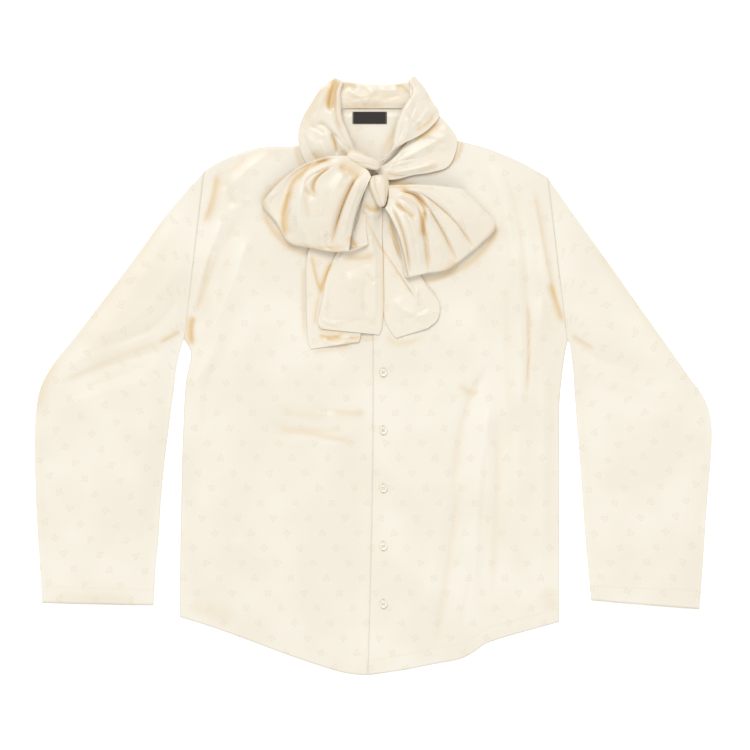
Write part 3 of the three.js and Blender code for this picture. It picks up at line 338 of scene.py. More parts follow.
# Rows across a loop: its root, a point on the way and its tip, the heights under them and its swell.
RIGHT_LOOP = [
    {"root": (-29, 304), "via": (-97, 293), "tip": (-157, 238), "root_z": 16, "tip_z": 6.6, "full": 13},
    {"root": (-25, 301), "via": (-92, 268), "tip": (-136.5, 214.5), "root_z": 15, "tip_z": 6, "full": 18},
    {"root": (-20, 296), "via": (-78, 246), "tip": (-117.5, 185.5), "root_z": 14, "tip_z": 6.2, "full": 21},
    {"root": (-13, 290), "via": (-58, 236), "tip": (-85, 177), "root_z": 12.6, "tip_z": 9, "full": 22},
    {"root": (-7, 284), "via": (-38, 229), "tip": (-54, 171), "root_z": 14.5, "tip_z": 12.6, "full": 19},
    {"root": (-3, 276), "via": (-24, 225), "tip": (-34, 172), "root_z": 16, "tip_z": 12.6, "full": 15},
]
LEFT_LOOP = [
    {"root": (20, 264), "via": (76, 265), "tip": (129, 258.6), "root_z": 12, "tip_z": 5.6, "full": 12},
    {"root": (21, 261), "via": (84, 254), "tip": (150, 235.5), "root_z": 12, "tip_z": 5.6, "full": 17},
    {"root": (21, 257), "via": (90, 240), "tip": (171, 209), "root_z": 12, "tip_z": 5.6, "full": 19},
    {"root": (21, 253), "via": (84, 226), "tip": (150.5, 184.5), "root_z": 12, "tip_z": 5.6, "full": 20},
    {"root": (21, 248), "via": (76, 214), "tip": (130, 167), "root_z": 12, "tip_z": 5.6, "full": 20},
    {"root": (20, 243), "via": (64, 202), "tip": (104, 147.5), "root_z": 12, "tip_z": 5.8, "full": 21},
    {"root": (19, 238), "via": (50, 196), "tip": (77.5, 142.5), "root_z": 12, "tip_z": 8.4, "full": 21},
    {"root": (16, 233), "via": (36, 192), "tip": (49, 136), "root_z": 12.5, "tip_z": 9.4, "full": 18},
]
LOOP = {"root_height": 10, "fold_radius": 4.2}
RIGHT_MOUTH = (27, 10)
LEFT_MOUTH = (-6, 2)
CROSSING = {"centre": (-14, 299, 21), "half": (24.5, 12.5, 9.6), "turn": -20}
KNOT = {"centre": (8.5, 257, 20.5), "half": (22.5, 14.5, 10.5), "turn": 98}
FRONT_FLOOR = CLOTH + SEAM_GAP
LAP_STEP = CLOTH + SEAM_GAP
BAND_EDGE = [(-47, 413), (-29, 411), (-13, 409), (18, 408), (33, 409), (51, 412.5)]
SLEEVE_ARMHOLE_PUFF = 0.1
SLEEVE_ARMHOLE_AIR = 0.3
SHELL = 0.6
TIE_SHELL = 0.9
FOLD_LEAN = 0.3
FRONT_SMALL_FOLDS = [
    {"start": (-226, 250), "via": (-238, 200), "end": (-250, 150), "rise": 1.6, "width": 6},
    {"start": (-204, 216), "via": (-222, 160), "end": (-236, 110), "rise": -1.4, "width": 3},
    {"start": (-214, 200), "via": (-236, 140), "end": (-246, 100), "rise": -1.4, "width": 3},
    {"start": (-196, 190), "via": (-212, 140), "end": (-220, 90), "rise": -1.6, "width": 8},
    {"start": (-150, 120), "via": (-176, 60), "end": (-182, -20), "rise": 1.4, "width": 16},
    {"start": (-216, 30), "via": (-236, -20), "end": (-240, -90), "rise": -1.6, "width": 9},
    {"start": (-163, -64), "via": (-120, -74), "end": (-60, -70), "rise": 0.6, "width": 9},
    {"start": (-90, -46), "via": (-50, -50), "end": (-8, -46), "rise": -1.6, "width": 6},
    {"start": (-80, -88), "via": (-46, -92), "end": (-10, -94), "rise": -1.4, "width": 5},
    {"start": (-206, -120), "via": (-190, -180), "end": (-196, -260), "rise": 1.4, "width": 16},
    {"start": (-60, -150), "via": (-52, -250), "end": (-60, -380), "rise": 1.2, "width": 16},
    {"start": (-230, -290), "via": (-196, -300), "end": (-150, -330), "rise": 1.4, "width": 10},
    {"start": (120, 120), "via": (150, 60), "end": (160, -20), "rise": 1.4, "width": 14},
    {"start": (116, -10), "via": (130, -22), "end": (152, -26), "rise": -1.8, "width": 6},
    {"start": (190, 240), "via": (198, 190), "end": (192, 140), "rise": -1.4, "width": 4},
    {"start": (190, 140), "via": (186, 40), "end": (192, -80), "rise": -1.6, "width": 7},
    {"start": (215, 110), "via": (217, 40), "end": (213, -34), "rise": -2.6, "width": 2.4},
    {"start": (222, 100), "via": (224, 20), "end": (214, -60), "rise": 1.4, "width": 6},
    {"start": (240, 136), "via": (252, 104), "end": (266, 76), "rise": -2, "width": 3},
    {"start": (156, -40), "via": (160, -140), "end": (152, -240), "rise": 1.8, "width": 5},
    {"start": (146, -210), "via": (132, -290), "end": (120, -370), "rise": -1.6, "width": 7},
    {"start": (214, -230), "via": (222, -270), "end": (246, -310), "rise": 1.8, "width": 12},
    {"start": (60, -60), "via": (90, -90), "end": (100, -140), "rise": 1.2, "width": 12},
    {"start": (-212, 270), "via": (-190, 262), "end": (-172, 246), "rise": -1.8, "width": 7},
]
SLEEVE_SMALL_FOLDS = [
    {"start": (-262, 230), "via": (-300, 170), "end": (-340, 120), "rise": 1.5, "width": 12},
    {"start": (-280, 96), "via": (-330, 70), "end": (-392, 62), "rise": 1.6, "width": 8},
    {"start": (-300, 22), "via": (-350, 2), "end": (-420, -24), "rise": -1.8, "width": 8},
    {"start": (-310, -60), "via": (-380, -70), "end": (-450, -90), "rise": 1.4, "width": 14},
    {"start": (-400, -130), "via": (-420, -210), "end": (-416, -290), "rise": 1.4, "width": 18},
    {"start": (-330, -180), "via": (-326, -250), "end": (-336, -300), "rise": -1.2, "width": 12},
    {"start": (262, 230), "via": (300, 180), "end": (336, 120), "rise": 1.5, "width": 12},
    {"start": (290, 90), "via": (340, 50), "end": (410, 30), "rise": -1.6, "width": 8},
    {"start": (300, -20), "via": (350, -40), "end": (430, -60), "rise": 1.5, "width": 10},
    {"start": (320, -100), "via": (330, -190), "end": (326, -280), "rise": 1.3, "width": 14},
    {"start": (430, -110), "via": (436, -200), "end": (424, -290), "rise": 1.3, "width": 14},
]
BAND_SMALL_FOLDS = [
    {"start": (-46, 396), "via": (-35, 407), "end": (-22, 399), "rise": -2.4, "width": 3},
    {"start": (30, 406), "via": (42, 403), "end": (50, 392), "rise": -2.2, "width": 3},
    {"start": (-20, 404), "via": (-8, 396), "end": (-2, 386), "rise": -1.2, "width": 4},
    {"start": (10, 380), "via": (20, 388), "end": (40, 392), "rise": -1.2, "width": 4},
    {"start": (-44, 380), "via": (-38, 384), "end": (-30, 380), "rise": -1.8, "width": 3},
    {"start": (-14, 378), "via": (-6, 388), "end": (6, 404), "rise": 1.4, "width": 4},
]
COLLAR_SMALL_FOLDS = [
    {"start": (-61, 340), "via": (-54, 326), "end": (-52, 306), "rise": -2.6, "width": 2.4},
    {"start": (-58, 342), "via": (-42, 324), "end": (-26, 310), "rise": -2.6, "width": 2.4},
    {"start": (-90, 348), "via": (-78, 344), "end": (-68, 336), "rise": -1.4, "width": 3},
    {"start": (-62, 404), "via": (-70, 390), "end": (-76, 370), "rise": 1.2, "width": 4},
    {"start": (-78, 330), "via": (-70, 314), "end": (-64, 298), "rise": 1, "width": 5},
    {"start": (-50, 398), "via": (-52, 372), "end": (-46, 344), "rise": -2.2, "width": 2.6},
    {"start": (-48, 366), "via": (-44, 346), "end": (-32, 324), "rise": 1.4, "width": 3},
    {"start": (-97, 340), "via": (-90, 318), "end": (-76, 298), "rise": -1, "width": 4},
]
FLAP_SMALL_FOLDS = [
    {"start": (62, 396), "via": (58, 376), "end": (48, 352), "rise": -1, "width": 3},
    {"start": (78, 376), "via": (66, 358), "end": (50, 344), "rise": 1.4, "width": 4},
    {"start": (40, 352), "via": (38, 338), "end": (28, 318), "rise": -1.2, "width": 2.4},
    {"start": (66, 408), "via": (76, 392), "end": (84, 376), "rise": -1.2, "width": 5},
    {"start": (44, 372), "via": (56, 356), "end": (72, 348), "rise": -1.2, "width": 3},
]
WRAP_SMALL_FOLDS = [
    {"start": (20, 296), "via": (42, 320), "end": (74, 340), "rise": -1.8, "width": 3},
    {"start": (18, 286), "via": (44, 292), "end": (84, 300), "rise": 1.8, "width": 4},
    {"start": (18, 283), "via": (44, 277), "end": (66, 284), "rise": -2, "width": 2},
    {"start": (20, 291), "via": (40, 300), "end": (66, 304), "rise": -1.8, "width": 3},
    {"start": (12, 291), "via": (20, 291), "end": (34, 292), "rise": -2, "width": 1.6},
    {"start": (94, 350), "via": (100, 332), "end": (96, 312), "rise": 1.6, "width": 6},
    {"start": (66, 330), "via": (84, 330), "end": (104, 322), "rise": -1.2, "width": 5},
]
RIGHT_TAIL_SMALL_FOLDS = [
    {"start": (-17, 236), "via": (-2, 223), "end": (18, 229), "rise": 2.6, "width": 3},
    {"start": (-16, 245), "via": (-1, 232), "end": (14, 239), "rise": -2.6, "width": 3.4},
    {"start": (-20, 242), "via": (-4, 206), "end": (24, 160), "rise": -3.4, "width": 1.8},
    {"start": (-44, 168), "via": (-24, 158), "end": (0, 166), "rise": -1.8, "width": 4},
    {"start": (-12, 144), "via": (-5, 137), "end": (2, 128), "rise": -1.6, "width": 2.4},
    {"start": (-60, 134), "via": (-58, 108), "end": (-64, 84), "rise": -1.6, "width": 5},
    {"start": (-8, 138), "via": (-14, 110), "end": (-8, 80), "rise": -1.4, "width": 6},
    {"start": (-74, 84), "via": (-60, 74), "end": (-40, 76), "rise": 2, "width": 4},
    {"start": (-76, 72), "via": (-62, 66), "end": (-46, 62), "rise": -2, "width": 3},
    {"start": (-36, 74), "via": (-16, 78), "end": (6, 70), "rise": -1.6, "width": 4},
    {"start": (-24, 200), "via": (-36, 184), "end": (-40, 160), "rise": -1.6, "width": 4},
    {"start": (-4, 196), "via": (-2, 184), "end": (0, 166), "rise": 1.4, "width": 4},
]
LEFT_TAIL_SMALL_FOLDS = [
    {"start": (0, 194), "via": (28, 154), "end": (60, 104), "rise": -3, "width": 1.8},
    {"start": (22, 228), "via": (28, 196), "end": (43, 156), "rise": -4, "width": 3},
    {"start": (18, 172), "via": (38, 142), "end": (64, 108), "rise": 2, "width": 4},
    {"start": (70, 134), "via": (81, 118), "end": (95, 102), "rise": -2, "width": 3},
    {"start": (36, 94), "via": (60, 86), "end": (88, 88), "rise": 0.8, "width": 6},
    {"start": (26, 74), "via": (50, 80), "end": (80, 98), "rise": -1.4, "width": 4},
    {"start": (15, 88), "via": (22, 72), "end": (30, 54), "rise": 1.6, "width": 3},
    {"start": (40, 62), "via": (54, 68), "end": (64, 80), "rise": -1, "width": 4},
    {"start": (64, 124), "via": (60, 108), "end": (64, 94), "rise": 1.6, "width": 4},
]
RIGHT_LOOP_SMALL_FOLDS = [
    {"start": (-58, 301), "via": (-86, 289), "end": (-114, 260), "rise": -3.5, "width": 5},
    {"start": (-50, 302), "via": (-94, 280), "end": (-104, 190), "rise": 2.8, "width": 5},
    {"start": (-54, 291), "via": (-80, 271), "end": (-80, 248), "rise": -4, "width": 3},
    {"start": (-46, 292), "via": (-40, 283), "end": (-34, 268), "rise": -2.5, "width": 7},
    {"start": (-16, 285), "via": (-42, 236), "end": (-61, 170), "rise": -3.4, "width": 1.8},
    {"start": (-5, 276), "via": (-20, 240), "end": (-32, 188), "rise": -2, "width": 2},
    {"start": (-26, 276), "via": (-36, 250), "end": (-58, 190), "rise": -1.8, "width": 5},
    {"start": (-112, 236), "via": (-122, 214), "end": (-112, 192), "rise": -2, "width": 5},
    {"start": (-130, 256), "via": (-146, 240), "end": (-140, 214), "rise": 1.6, "width": 5},
    {"start": (-76, 200), "via": (-72, 186), "end": (-76, 172), "rise": 1.8, "width": 5},
    {"start": (-62, 200), "via": (-66, 186), "end": (-60, 171), "rise": -1.8, "width": 4},
    {"start": (-60, 262), "via": (-70, 236), "end": (-68, 212), "rise": -1.2, "width": 8},
    {"start": (-100, 206), "via": (-92, 192), "end": (-94, 178), "rise": 1.6, "width": 6},
    {"start": (-40, 210), "via": (-48, 196), "end": (-50, 178), "rise": 1.4, "width": 4},
]
LEFT_LOOP_SMALL_FOLDS = [
    {"start": (34, 255), "via": (64, 244), "end": (73, 204), "rise": -3.6, "width": 3},
    {"start": (72, 230), "via": (70, 210), "end": (70, 184), "rise": -3, "width": 3.6},
    {"start": (28, 240), "via": (42, 228), "end": (60, 216), "rise": -3.4, "width": 4},
    {"start": (30, 250), "via": (56, 237), "end": (65, 210), "rise": 3, "width": 3.5},
    {"start": (26, 262), "via": (60, 262), "end": (98, 254), "rise": -1.6, "width": 3},
    {"start": (52, 262), "via": (88, 215), "end": (122, 148), "rise": -2.4, "width": 1.8},
    {"start": (50, 261), "via": (103, 224), "end": (144, 170), "rise": -2, "width": 1.8},
    {"start": (24, 234), "via": (43, 190), "end": (51, 134), "rise": -2.4, "width": 1.8},
    {"start": (68, 216), "via": (72, 178), "end": (78, 140), "rise": -2.4, "width": 2},
    {"start": (96, 226), "via": (122, 214), "end": (150, 210), "rise": 1.4, "width": 7},
    {"start": (86, 186), "via": (92, 170), "end": (92, 150), "rise": 1.6, "width": 6},
]
# Painted shade and painted shadow: places where the cloth's colour is made darker and warmer than its relief
# alone makes it, in folds, under edges and where one layer lies on another, as lines with their strength and
# width. A strength below 0 takes painted shade away.
BACK_PAINTED_SHADE = [
    {"start": (42, 378), "via": (31, 346), "end": (10, 312), "rise": 0.5, "width": 5},
    {"start": (-50, 378), "via": (-42, 344), "end": (-20, 312), "rise": 0.4, "width": 5},
    {"start": (-50, 372), "via": (0, 371), "end": (44, 372), "rise": 0.3, "width": 3},
]
FRONT_PAINTED_SHADE = [
    {"start": (-220, 286), "via": (-225, 250), "end": (-240, 208), "rise": 0.7, "width": 6},
    {"start": (-208, 282), "via": (-190, 289), "end": (-168, 282), "rise": 0.22, "width": 8},
    {"start": (224, 266), "via": (237, 190), "end": (256, 96), "rise": 0.4, "width": 4},
    {"start": (-250, 84), "via": (-255, 66), "end": (-252, 38), "rise": 1, "width": 6},
    {"start": (-226, 180), "via": (-238, 130), "end": (-248, 90), "rise": 0.35, "width": 6},
    {"start": (-60, -50), "via": (-34, -52), "end": (-8, -50), "rise": 0.32, "width": 6},
    {"start": (-140, -78), "via": (-90, -82), "end": (-14, -96), "rise": 0.3, "width": 6},
    {"start": (120, -12), "via": (134, -22), "end": (148, -24), "rise": 0.3, "width": 7},
    {"start": (215, 104), "via": (217, 40), "end": (214, -34), "rise": 0.45, "width": 2.6},
    {"start": (246, 134), "via": (256, 104), "end": (267, 70), "rise": 0.85, "width": 5},
    {"start": (-160, 236), "via": (-134, 194), "end": (-104, 172), "rise": 0.7, "width": 5},
    {"start": (-160, 238), "via": (-134, 270), "end": (-96, 292), "rise": 0.5, "width": 5},
    {"start": (6, 267), "via": (30, 268), "end": (68, 265), "rise": 1.1, "width": 3.6},
    {"start": (-116, 176), "via": (-66, 167), "end": (-22, 171), "rise": 0.65, "width": 4},
    {"start": (42, 131), "via": (88, 135), "end": (126, 152), "rise": 0.65, "width": 4.5},
    {"start": (112, 144), "via": (152, 174), "end": (178, 214), "rise": 0.65, "width": 4.5},
    {"start": (-98, 158), "via": (-99, 110), "end": (-97, 44), "rise": 0.4, "width": 4},
    {"start": (-90, 33), "via": (-60, 37), "end": (-22, 42), "rise": 0.4, "width": 4},
    {"start": (-22, 52), "via": (-8, 50), "end": (10, 52), "rise": 0.3, "width": 4},
    {"start": (20, 64), "via": (34, 46), "end": (76, 58), "rise": 0.35, "width": 5},
    {"start": (-109, 342), "via": (-106, 306), "end": (-92, 282), "rise": 0.5, "width": 5},
    {"start": (122, 340), "via": (114, 302), "end": (66, 278), "rise": 0.6, "width": 4.5},
    {"start": (-262, -318), "via": (-230, -333), "end": (-190, -345), "rise": 0.17, "width": 14},
    {"start": (236, -296), "via": (248, -312), "end": (254, -330), "rise": 0.2, "width": 10},
    {"start": (-204, 286), "via": (-160, 306), "end": (-112, 316), "rise": 0.22, "width": 8},
    {"start": (246, 270), "via": (256, 190), "end": (264, 100), "rise": 0.4, "width": 1.6},
    {"start": (-140, -40), "via": (-100, -54), "end": (-60, -56), "rise": 0.16, "width": 8},
]
SLEEVE_PAINTED_SHADE = [
    {"start": (-280, 224), "via": (-344, 124), "end": (-424, 10), "rise": 0.13, "width": 32},
    {"start": (-270, 62), "via": (-282, 55), "end": (-302, 44), "rise": 0.6, "width": 4},
    {"start": (-276, 54), "via": (-370, 22), "end": (-442, -14), "rise": 0.22, "width": 7},
    {"start": (-286, 232), "via": (-344, 156), "end": (-420, 50), "rise": 0.25, "width": 9},
    {"start": (-438, 26), "via": (-464, -10), "end": (-472, -62), "rise": 0.3, "width": 9},
    {"start": (276, 58), "via": (292, 48), "end": (312, 36), "rise": 0.45, "width": 4},
    {"start": (300, 190), "via": (360, 108), "end": (420, 28), "rise": 0.14, "width": 8},
    {"start": (-454, -308), "via": (-400, -310), "end": (-330, -312), "rise": 0.14, "width": 8},
]
RIGHT_LOOP_PAINTED_SHADE = [
    {"start": (-126, 186), "via": (-78, 178), "end": (-26, 181), "rise": 0.35, "width": 2.6},
    {"start": (-50, 302), "via": (-90, 288), "end": (-120, 256), "rise": 0.8, "width": 4.5},
    {"start": (-108, 272), "via": (-126, 226), "end": (-119, 190), "rise": 0.95, "width": 5},
    {"start": (-54, 291), "via": (-80, 272), "end": (-80, 248), "rise": 0.9, "width": 3},
    {"start": (-104, 262), "via": (-109, 236), "end": (-106, 208), "rise": -0.25, "width": 6},
    {"start": (-96, 252), "via": (-92, 234), "end": (-90, 216), "rise": 0.25, "width": 4},
    {"start": (-52, 292), "via": (-34, 284), "end": (-14, 270), "rise": 0.6, "width": 8},
    {"start": (-22, 280), "via": (-40, 246), "end": (-56, 200), "rise": 0.2, "width": 5},
    {"start": (-150, 248), "via": (-152, 230), "end": (-132, 204), "rise": 0.5, "width": 4},
    {"start": (-34, 196), "via": (-28, 186), "end": (-22, 178), "rise": 0.8, "width": 5},
    {"start": (-16, 285), "via": (-42, 236), "end": (-61, 170), "rise": 0.45, "width": 1.6},
    {"start": (-66, 180), "via": (-50, 174), "end": (-36, 174), "rise": 0.4, "width": 4},
]
LEFT_LOOP_PAINTED_SHADE = [
    {"start": (34, 255), "via": (64, 244), "end": (73, 206), "rise": 0.55, "width": 2.4},
    {"start": (72, 230), "via": (69, 212), "end": (68, 192), "rise": 1, "width": 3},
    {"start": (28, 242), "via": (44, 229), "end": (60, 216), "rise": 0.65, "width": 3.4},
    {"start": (36, 256), "via": (54, 250), "end": (68, 234), "rise": 0.4, "width": 5},
    {"start": (20, 262), "via": (34, 261), "end": (52, 256), "rise": 0.7, "width": 3},
    {"start": (176, 216), "via": (164, 194), "end": (142, 170), "rise": 0.7, "width": 3.6},
    {"start": (120, 160), "via": (106, 148), "end": (90, 142), "rise": 0.35, "width": 5},
    {"start": (52, 262), "via": (88, 215), "end": (122, 148), "rise": 0.3, "width": 1.4},
    {"start": (50, 261), "via": (103, 224), "end": (144, 170), "rise": 0.3, "width": 1.4},
    {"start": (24, 234), "via": (43, 190), "end": (51, 134), "rise": 0.35, "width": 1.6},
    {"start": (68, 216), "via": (72, 178), "end": (78, 140), "rise": 0.3, "width": 1.8},
    {"start": (84, 141), "via": (104, 148), "end": (116, 164), "rise": 0.4, "width": 7},
]
COLLAR_PAINTED_SHADE = [
    {"start": (-50, 416), "via": (-60, 397), "end": (-64, 368), "rise": 1.2, "width": 7},
    {"start": (-64, 406), "via": (-84, 384), "end": (-96, 350), "rise": 0.28, "width": 12},
    {"start": (-50, 398), "via": (-52, 366), "end": (-44, 340), "rise": 0.4, "width": 3},
    {"start": (-61, 338), "via": (-54, 326), "end": (-51, 308), "rise": 0.6, "width": 3},
    {"start": (-88, 316), "via": (-76, 300), "end": (-60, 288), "rise": 0.5, "width": 6},
    {"start": (-46, 316), "via": (-38, 310), "end": (-30, 306), "rise": 0.5, "width": 4},
]
WRAP_PAINTED_SHADE = [
    {"start": (18, 296), "via": (36, 316), "end": (62, 334), "rise": 0.5, "width": 4},
    {"start": (18, 284), "via": (30, 280), "end": (50, 280), "rise": 0.45, "width": 3},
    {"start": (60, 284), "via": (76, 288), "end": (92, 294), "rise": 0.25, "width": 4},
    {"start": (54, 332), "via": (74, 339), "end": (94, 360), "rise": 0.9, "width": 4},
]
FLAP_PAINTED_SHADE = [
    {"start": (84, 366), "via": (74, 352), "end": (56, 342), "rise": 0.6, "width": 3},
    {"start": (30, 326), "via": (24, 316), "end": (18, 306), "rise": 0.5, "width": 4},
    {"start": (50, 404), "via": (52, 394), "end": (48, 384), "rise": 0.5, "width": 3},
]
BAND_PAINTED_SHADE = [
    {"start": (-46, 396), "via": (-36, 406), "end": (-22, 400), "rise": 0.6, "width": 4},
    {"start": (28, 406), "via": (42, 404), "end": (50, 392), "rise": 0.6, "width": 4},
    {"start": (-46, 378), "via": (-20, 376), "end": (20, 378), "rise": 0.4, "width": 3},
    {"start": (-46, 392), "via": (0, 389), "end": (46, 392), "rise": 0.2, "width": 12},
]
TAIL_PAINTED_SHADE = [
    {"start": (-17, 241), "via": (-1, 231), "end": (14, 238), "rise": 0.7, "width": 4},
    {"start": (-20, 242), "via": (-4, 206), "end": (24, 160), "rise": 0.35, "width": 1.8},
    {"start": (-24, 226), "via": (-30, 204), "end": (-22, 180), "rise": 0.45, "width": 5},
    {"start": (-56, 162), "via": (-67, 138), "end": (-76, 108), "rise": 1, "width": 3.4},
    {"start": (-40, 168), "via": (-20, 164), "end": (6, 170), "rise": 0.5, "width": 5},
    {"start": (-80, 70), "via": (-60, 62), "end": (-30, 58), "rise": 0.35, "width": 4},
    {"start": (24, 222), "via": (28, 196), "end": (40, 160), "rise": 0.8, "width": 4},
    {"start": (0, 194), "via": (28, 154), "end": (60, 104), "rise": 0.35, "width": 2},
    {"start": (-88, 172), "via": (-82, 142), "end": (-74, 116), "rise": 0.7, "width": 3},
    {"start": (-74, 116), "via": (-80, 90), "end": (-82, 68), "rise": 0.4, "width": 3},
    {"start": (-70, 54), "via": (-44, 46), "end": (-12, 46), "rise": 0.4, "width": 3},
    {"start": (-78, 58), "via": (-62, 54), "end": (-42, 57), "rise": 0.7, "width": 4},
    {"start": (-36, 55), "via": (-27, 52), "end": (-17, 55), "rise": 0.55, "width": 3},
    {"start": (13, 190), "via": (14, 120), "end": (14, 50), "rise": 0.4, "width": 3},
    {"start": (70, 132), "via": (82, 118), "end": (94, 104), "rise": 0.35, "width": 4},
]
# Each set of pleats has its number round the wrap, depth, twist and start.
CROSSING_PLEATS = [(2, 0.16, 0.45, 0.5), (5.5, 0.05, -0.4, 1.1)]
KNOT_PLEATS = [(2.5, 0.16, 0.12, -1.31), (6, 0.05, 0.3, 0.6)]
CROSSING_TAPER = (0.98, 0.72)
KNOT_TAPER = (0.52, 1.02)
FRONT_RELIEF = 0.55
# A base of painted shade that darkens and warms every piece of the collar and the tie.
TIE_PAINTED_SHADE = 0.1
SLEEVE_RELIEF = 0.22
WORLD_LIGHT = 0.65
LIGHTS = [
    ("Key", (-0.9, 2.9, 4.2), 0.55, 1.3),
    ("Fill", (0.7, -2.4, 2.3), 0.8, 0.5),
]

# The under front's edge inside the lap, from the hem upwards, and the back's edge at the neck.
UNDER_EDGE = [
    (LAP_WIDTH - 8, -415.6),
    (LAP_WIDTH - 4.6, -300),
    (LAP_WIDTH - 1, -100),
    (LAP_WIDTH - 1, 297),
]
BACK_NECK = [
    (-60, NECK_SEAM_Y - 5),
    (-44, NECK_SEAM_Y - 1),
    (0, NECK_SEAM_Y),
    (44, NECK_SEAM_Y - 1),
    (60, NECK_SEAM_Y - 5),
]
# Rough width and length of each front, which set how its relief fades out at its edges.
FRONT_RIGHT_SPAN = (290, 690)
FRONT_LEFT_SPAN = (265, 680)
SLEEVE_TOP_FROM = 2.5
SLEEVE_CLOTH_START = (400.0, 100.0)

# A fold is followed in steps, and fades out over this share of its length at each end.
FOLD_STEPS = 16
FOLD_FADE = 0.22
# Painted warm shade in hollows: its strength, how many cells it looks round, and the depth where it is full.
BODY_HOLLOW_SHADE = {"share": 0.4, "reach": 6, "depth": 2.6}
TIE_HOLLOW_SHADE = {"share": 0.7, "reach": 5, "depth": 3.4}
# A cut is never given as less than this share of its rectangle.
# How square the knot is in its cross-section, and how blunt at its ends; 2 would be round.
KNOT_SQUARE = 2.8
KNOT_BLUNT = 3.2

# The woven motif: shares of its pitch, then metres.
MOTIF = {
    "row_step": 0.42, "set_off": 0.37, "turn": 1.3, "lobe": 0.0012, "radius": 0.0036,
    "line": (0.0005, 0.001), "dot": (0.0007, 0.0014),
}

# Stitches in millimetres: from one to the next, then half their length, width and height.
BUTTON_STITCH = (0.6, 0.5, 0.16, 0.16)
BUTTONHOLE_STITCH = (0.42, 0.2, 0.8, 0.16)
LABEL_STITCH = (1.9, 0.75, 0.16, 0.12)
HEM_STITCH_HALVES = (1.15, 0.2, 0.14)
STITCH_LIFT = 0.08
BUTTONHOLE = {"half_length": 7.5, "half_gap": 0.9, "sink": 0.28}
CUFF_STITCH_SHARE = 1 - 0.033

# The floor and the camera, in metres; the lens and its sensor are in millimetres.
FLOOR = {"half_side": 12, "drop": 0.0004, "glow": 0.3}
CAMERA = {"x": 0.0021, "y": 0.0007, "sharp_height": 0.004, "view_width": 1.05, "lens": 100.0, "sensor": 36.0}

# The underarm's share of the body's length, and the height of the collar's stand.
UNDERARM_SHARE = 0.62
STAND_Z = 6.2


def smooth(x):
    """A soft step from 0 to 1."""
    x = np.clip(x, 0, 1)
    return x * x * (3 - 2 * x)


def mix(a, b, share):
    """Between a and b, at a share from 0 to 1."""
    return a + (b - a) * share


def through(points, shares, by_length=False):
    """Places on a smooth line through the given points, at shares from 0 to 1 of it."""
    p = np.asarray(points, float)
    ends = np.vstack([2 * p[:1] - p[1:2], p, 2 * p[-1:] - p[-2:-1]])
    steps = np.linalg.norm(np.diff(ends, axis=0), axis=1) ** 0.5
    steps[steps < 1e-4] = 1

    def at(s):
        i = np.clip(s.astype(int), 0, len(p) - 2)
        w = (s - i)[..., None]
        a, b, c, d = (ends[i + k] for k in range(4))
        t0, t1, t2 = (steps[i + k][..., None] for k in range(3))
        m1 = t1 * ((b - a) / t0 - (c - a) / (t0 + t1) + (c - b) / t1)
        m2 = t1 * ((c - b) / t1 - (d - b) / (t1 + t2) + (d - c) / t2)
        return b + w * (m1 + w * (3 * (c - b) - 2 * m1 - m2 + w * (2 * (b - c) + m1 + m2)))

    s = np.clip(np.asarray(shares, float), 0, 1) * (len(p) - 1)
    if by_length:
        fine = np.linspace(0, len(p) - 1, 500)
        line = at(fine)
        run = np.concatenate([[0], np.cumsum(np.linalg.norm(np.diff(line, axis=0), axis=1))])
        s = np.interp(np.clip(shares, 0, 1) * run[-1], run, fine)
    return at(s)


def column(rows, name, shares):
    """One value of a table's rows, on a smooth line through them."""
    values = [row[name] if isinstance(row[name], tuple) else (row[name],) for row in rows]
    out = through(values, shares)
    return out if out.shape[-1] > 1 else out[..., 0]


def fold_lift(folds, x, y, fan=False):
    """How far the folds lift the cloth at each point. Folds in a fan grow wider."""
    lift = np.zeros_like(x)
    for number, fold in enumerate(folds):
        start, via, end = (np.array(fold[key], float) for key in ("start", "via", "end"))
        control = 2 * via - (start + end) / 2
        t = np.linspace(0, 1, FOLD_STEPS + 1)[:, None]
        line = (1 - t) ** 2 * start + 2 * t * (1 - t) * control + t**2 * end
        width = fold["width"]
        low, high = line.min(axis=0) - 3 * width, line.max(axis=0) + 3 * width
        near = (x > low[0]) & (x < high[0]) & (y > low[1]) & (y < high[1])
        px, py = x[near], y[near]
        nearest = np.full(px.shape, np.inf)
        along = np.zeros(px.shape)
        side = np.zeros(px.shape)
        for i in range(FOLD_STEPS):
            a, step = line[i], line[i + 1] - line[i]
            share = np.clip(((px - a[0]) * step[0] + (py - a[1]) * step[1]) / (step @ step), 0, 1)
            dx, dy = px - a[0] - share * step[0], py - a[1] - share * step[1]
            distance = np.hypot(dx, dy)
            better = distance < nearest
            nearest = np.where(better, distance, nearest)
            along = np.where(better, (i + share) / FOLD_STEPS, along)
            side = np.where(better, np.sign(step[0] * dy - step[1] * dx), side)
        lean = FOLD_LEAN * (-1) ** number
        spread = mix(0.5, 1.3, along) if fan else 1
        reach = nearest / (width * (1 + lean * side) * spread)
        shape = 0.7 * np.exp(-(reach**2)) + 0.3 / (1 + (2 * reach) ** 2) ** 2
        ends = smooth(along / FOLD_FADE) * smooth((1 - along) / FOLD_FADE)
        lift[near] += fold["rise"] * shape * ends
    return lift


def coons(bottom, top, left, right, u, v):
    """A patch filled in between four edges, given as arrays of points."""
    b, t = bottom[None, :, :], top[None, :, :]
    l, r = left[:, None, :], right[:, None, :]
    u, v = u[None, :, None], v[:, None, None]
    corners = mix(mix(bottom[0], bottom[-1], u), mix(top[0], top[-1], u), v)
    return mix(b, t, v) + mix(l, r, u) - corners


def body_side(seam, shoulder, v):
    """A side of the body: its side seam, then the armhole up to the shoulder."""
    lower = through(seam, v / UNDERARM_SHARE, True)
    past = ((v - UNDERARM_SHARE) / (1 - UNDERARM_SHARE))[:, None]
    upper = mix(np.array(seam[-1], float), np.array(shoulder, float), past)
    return np.where((v < UNDERARM_SHARE)[:, None], lower, upper)


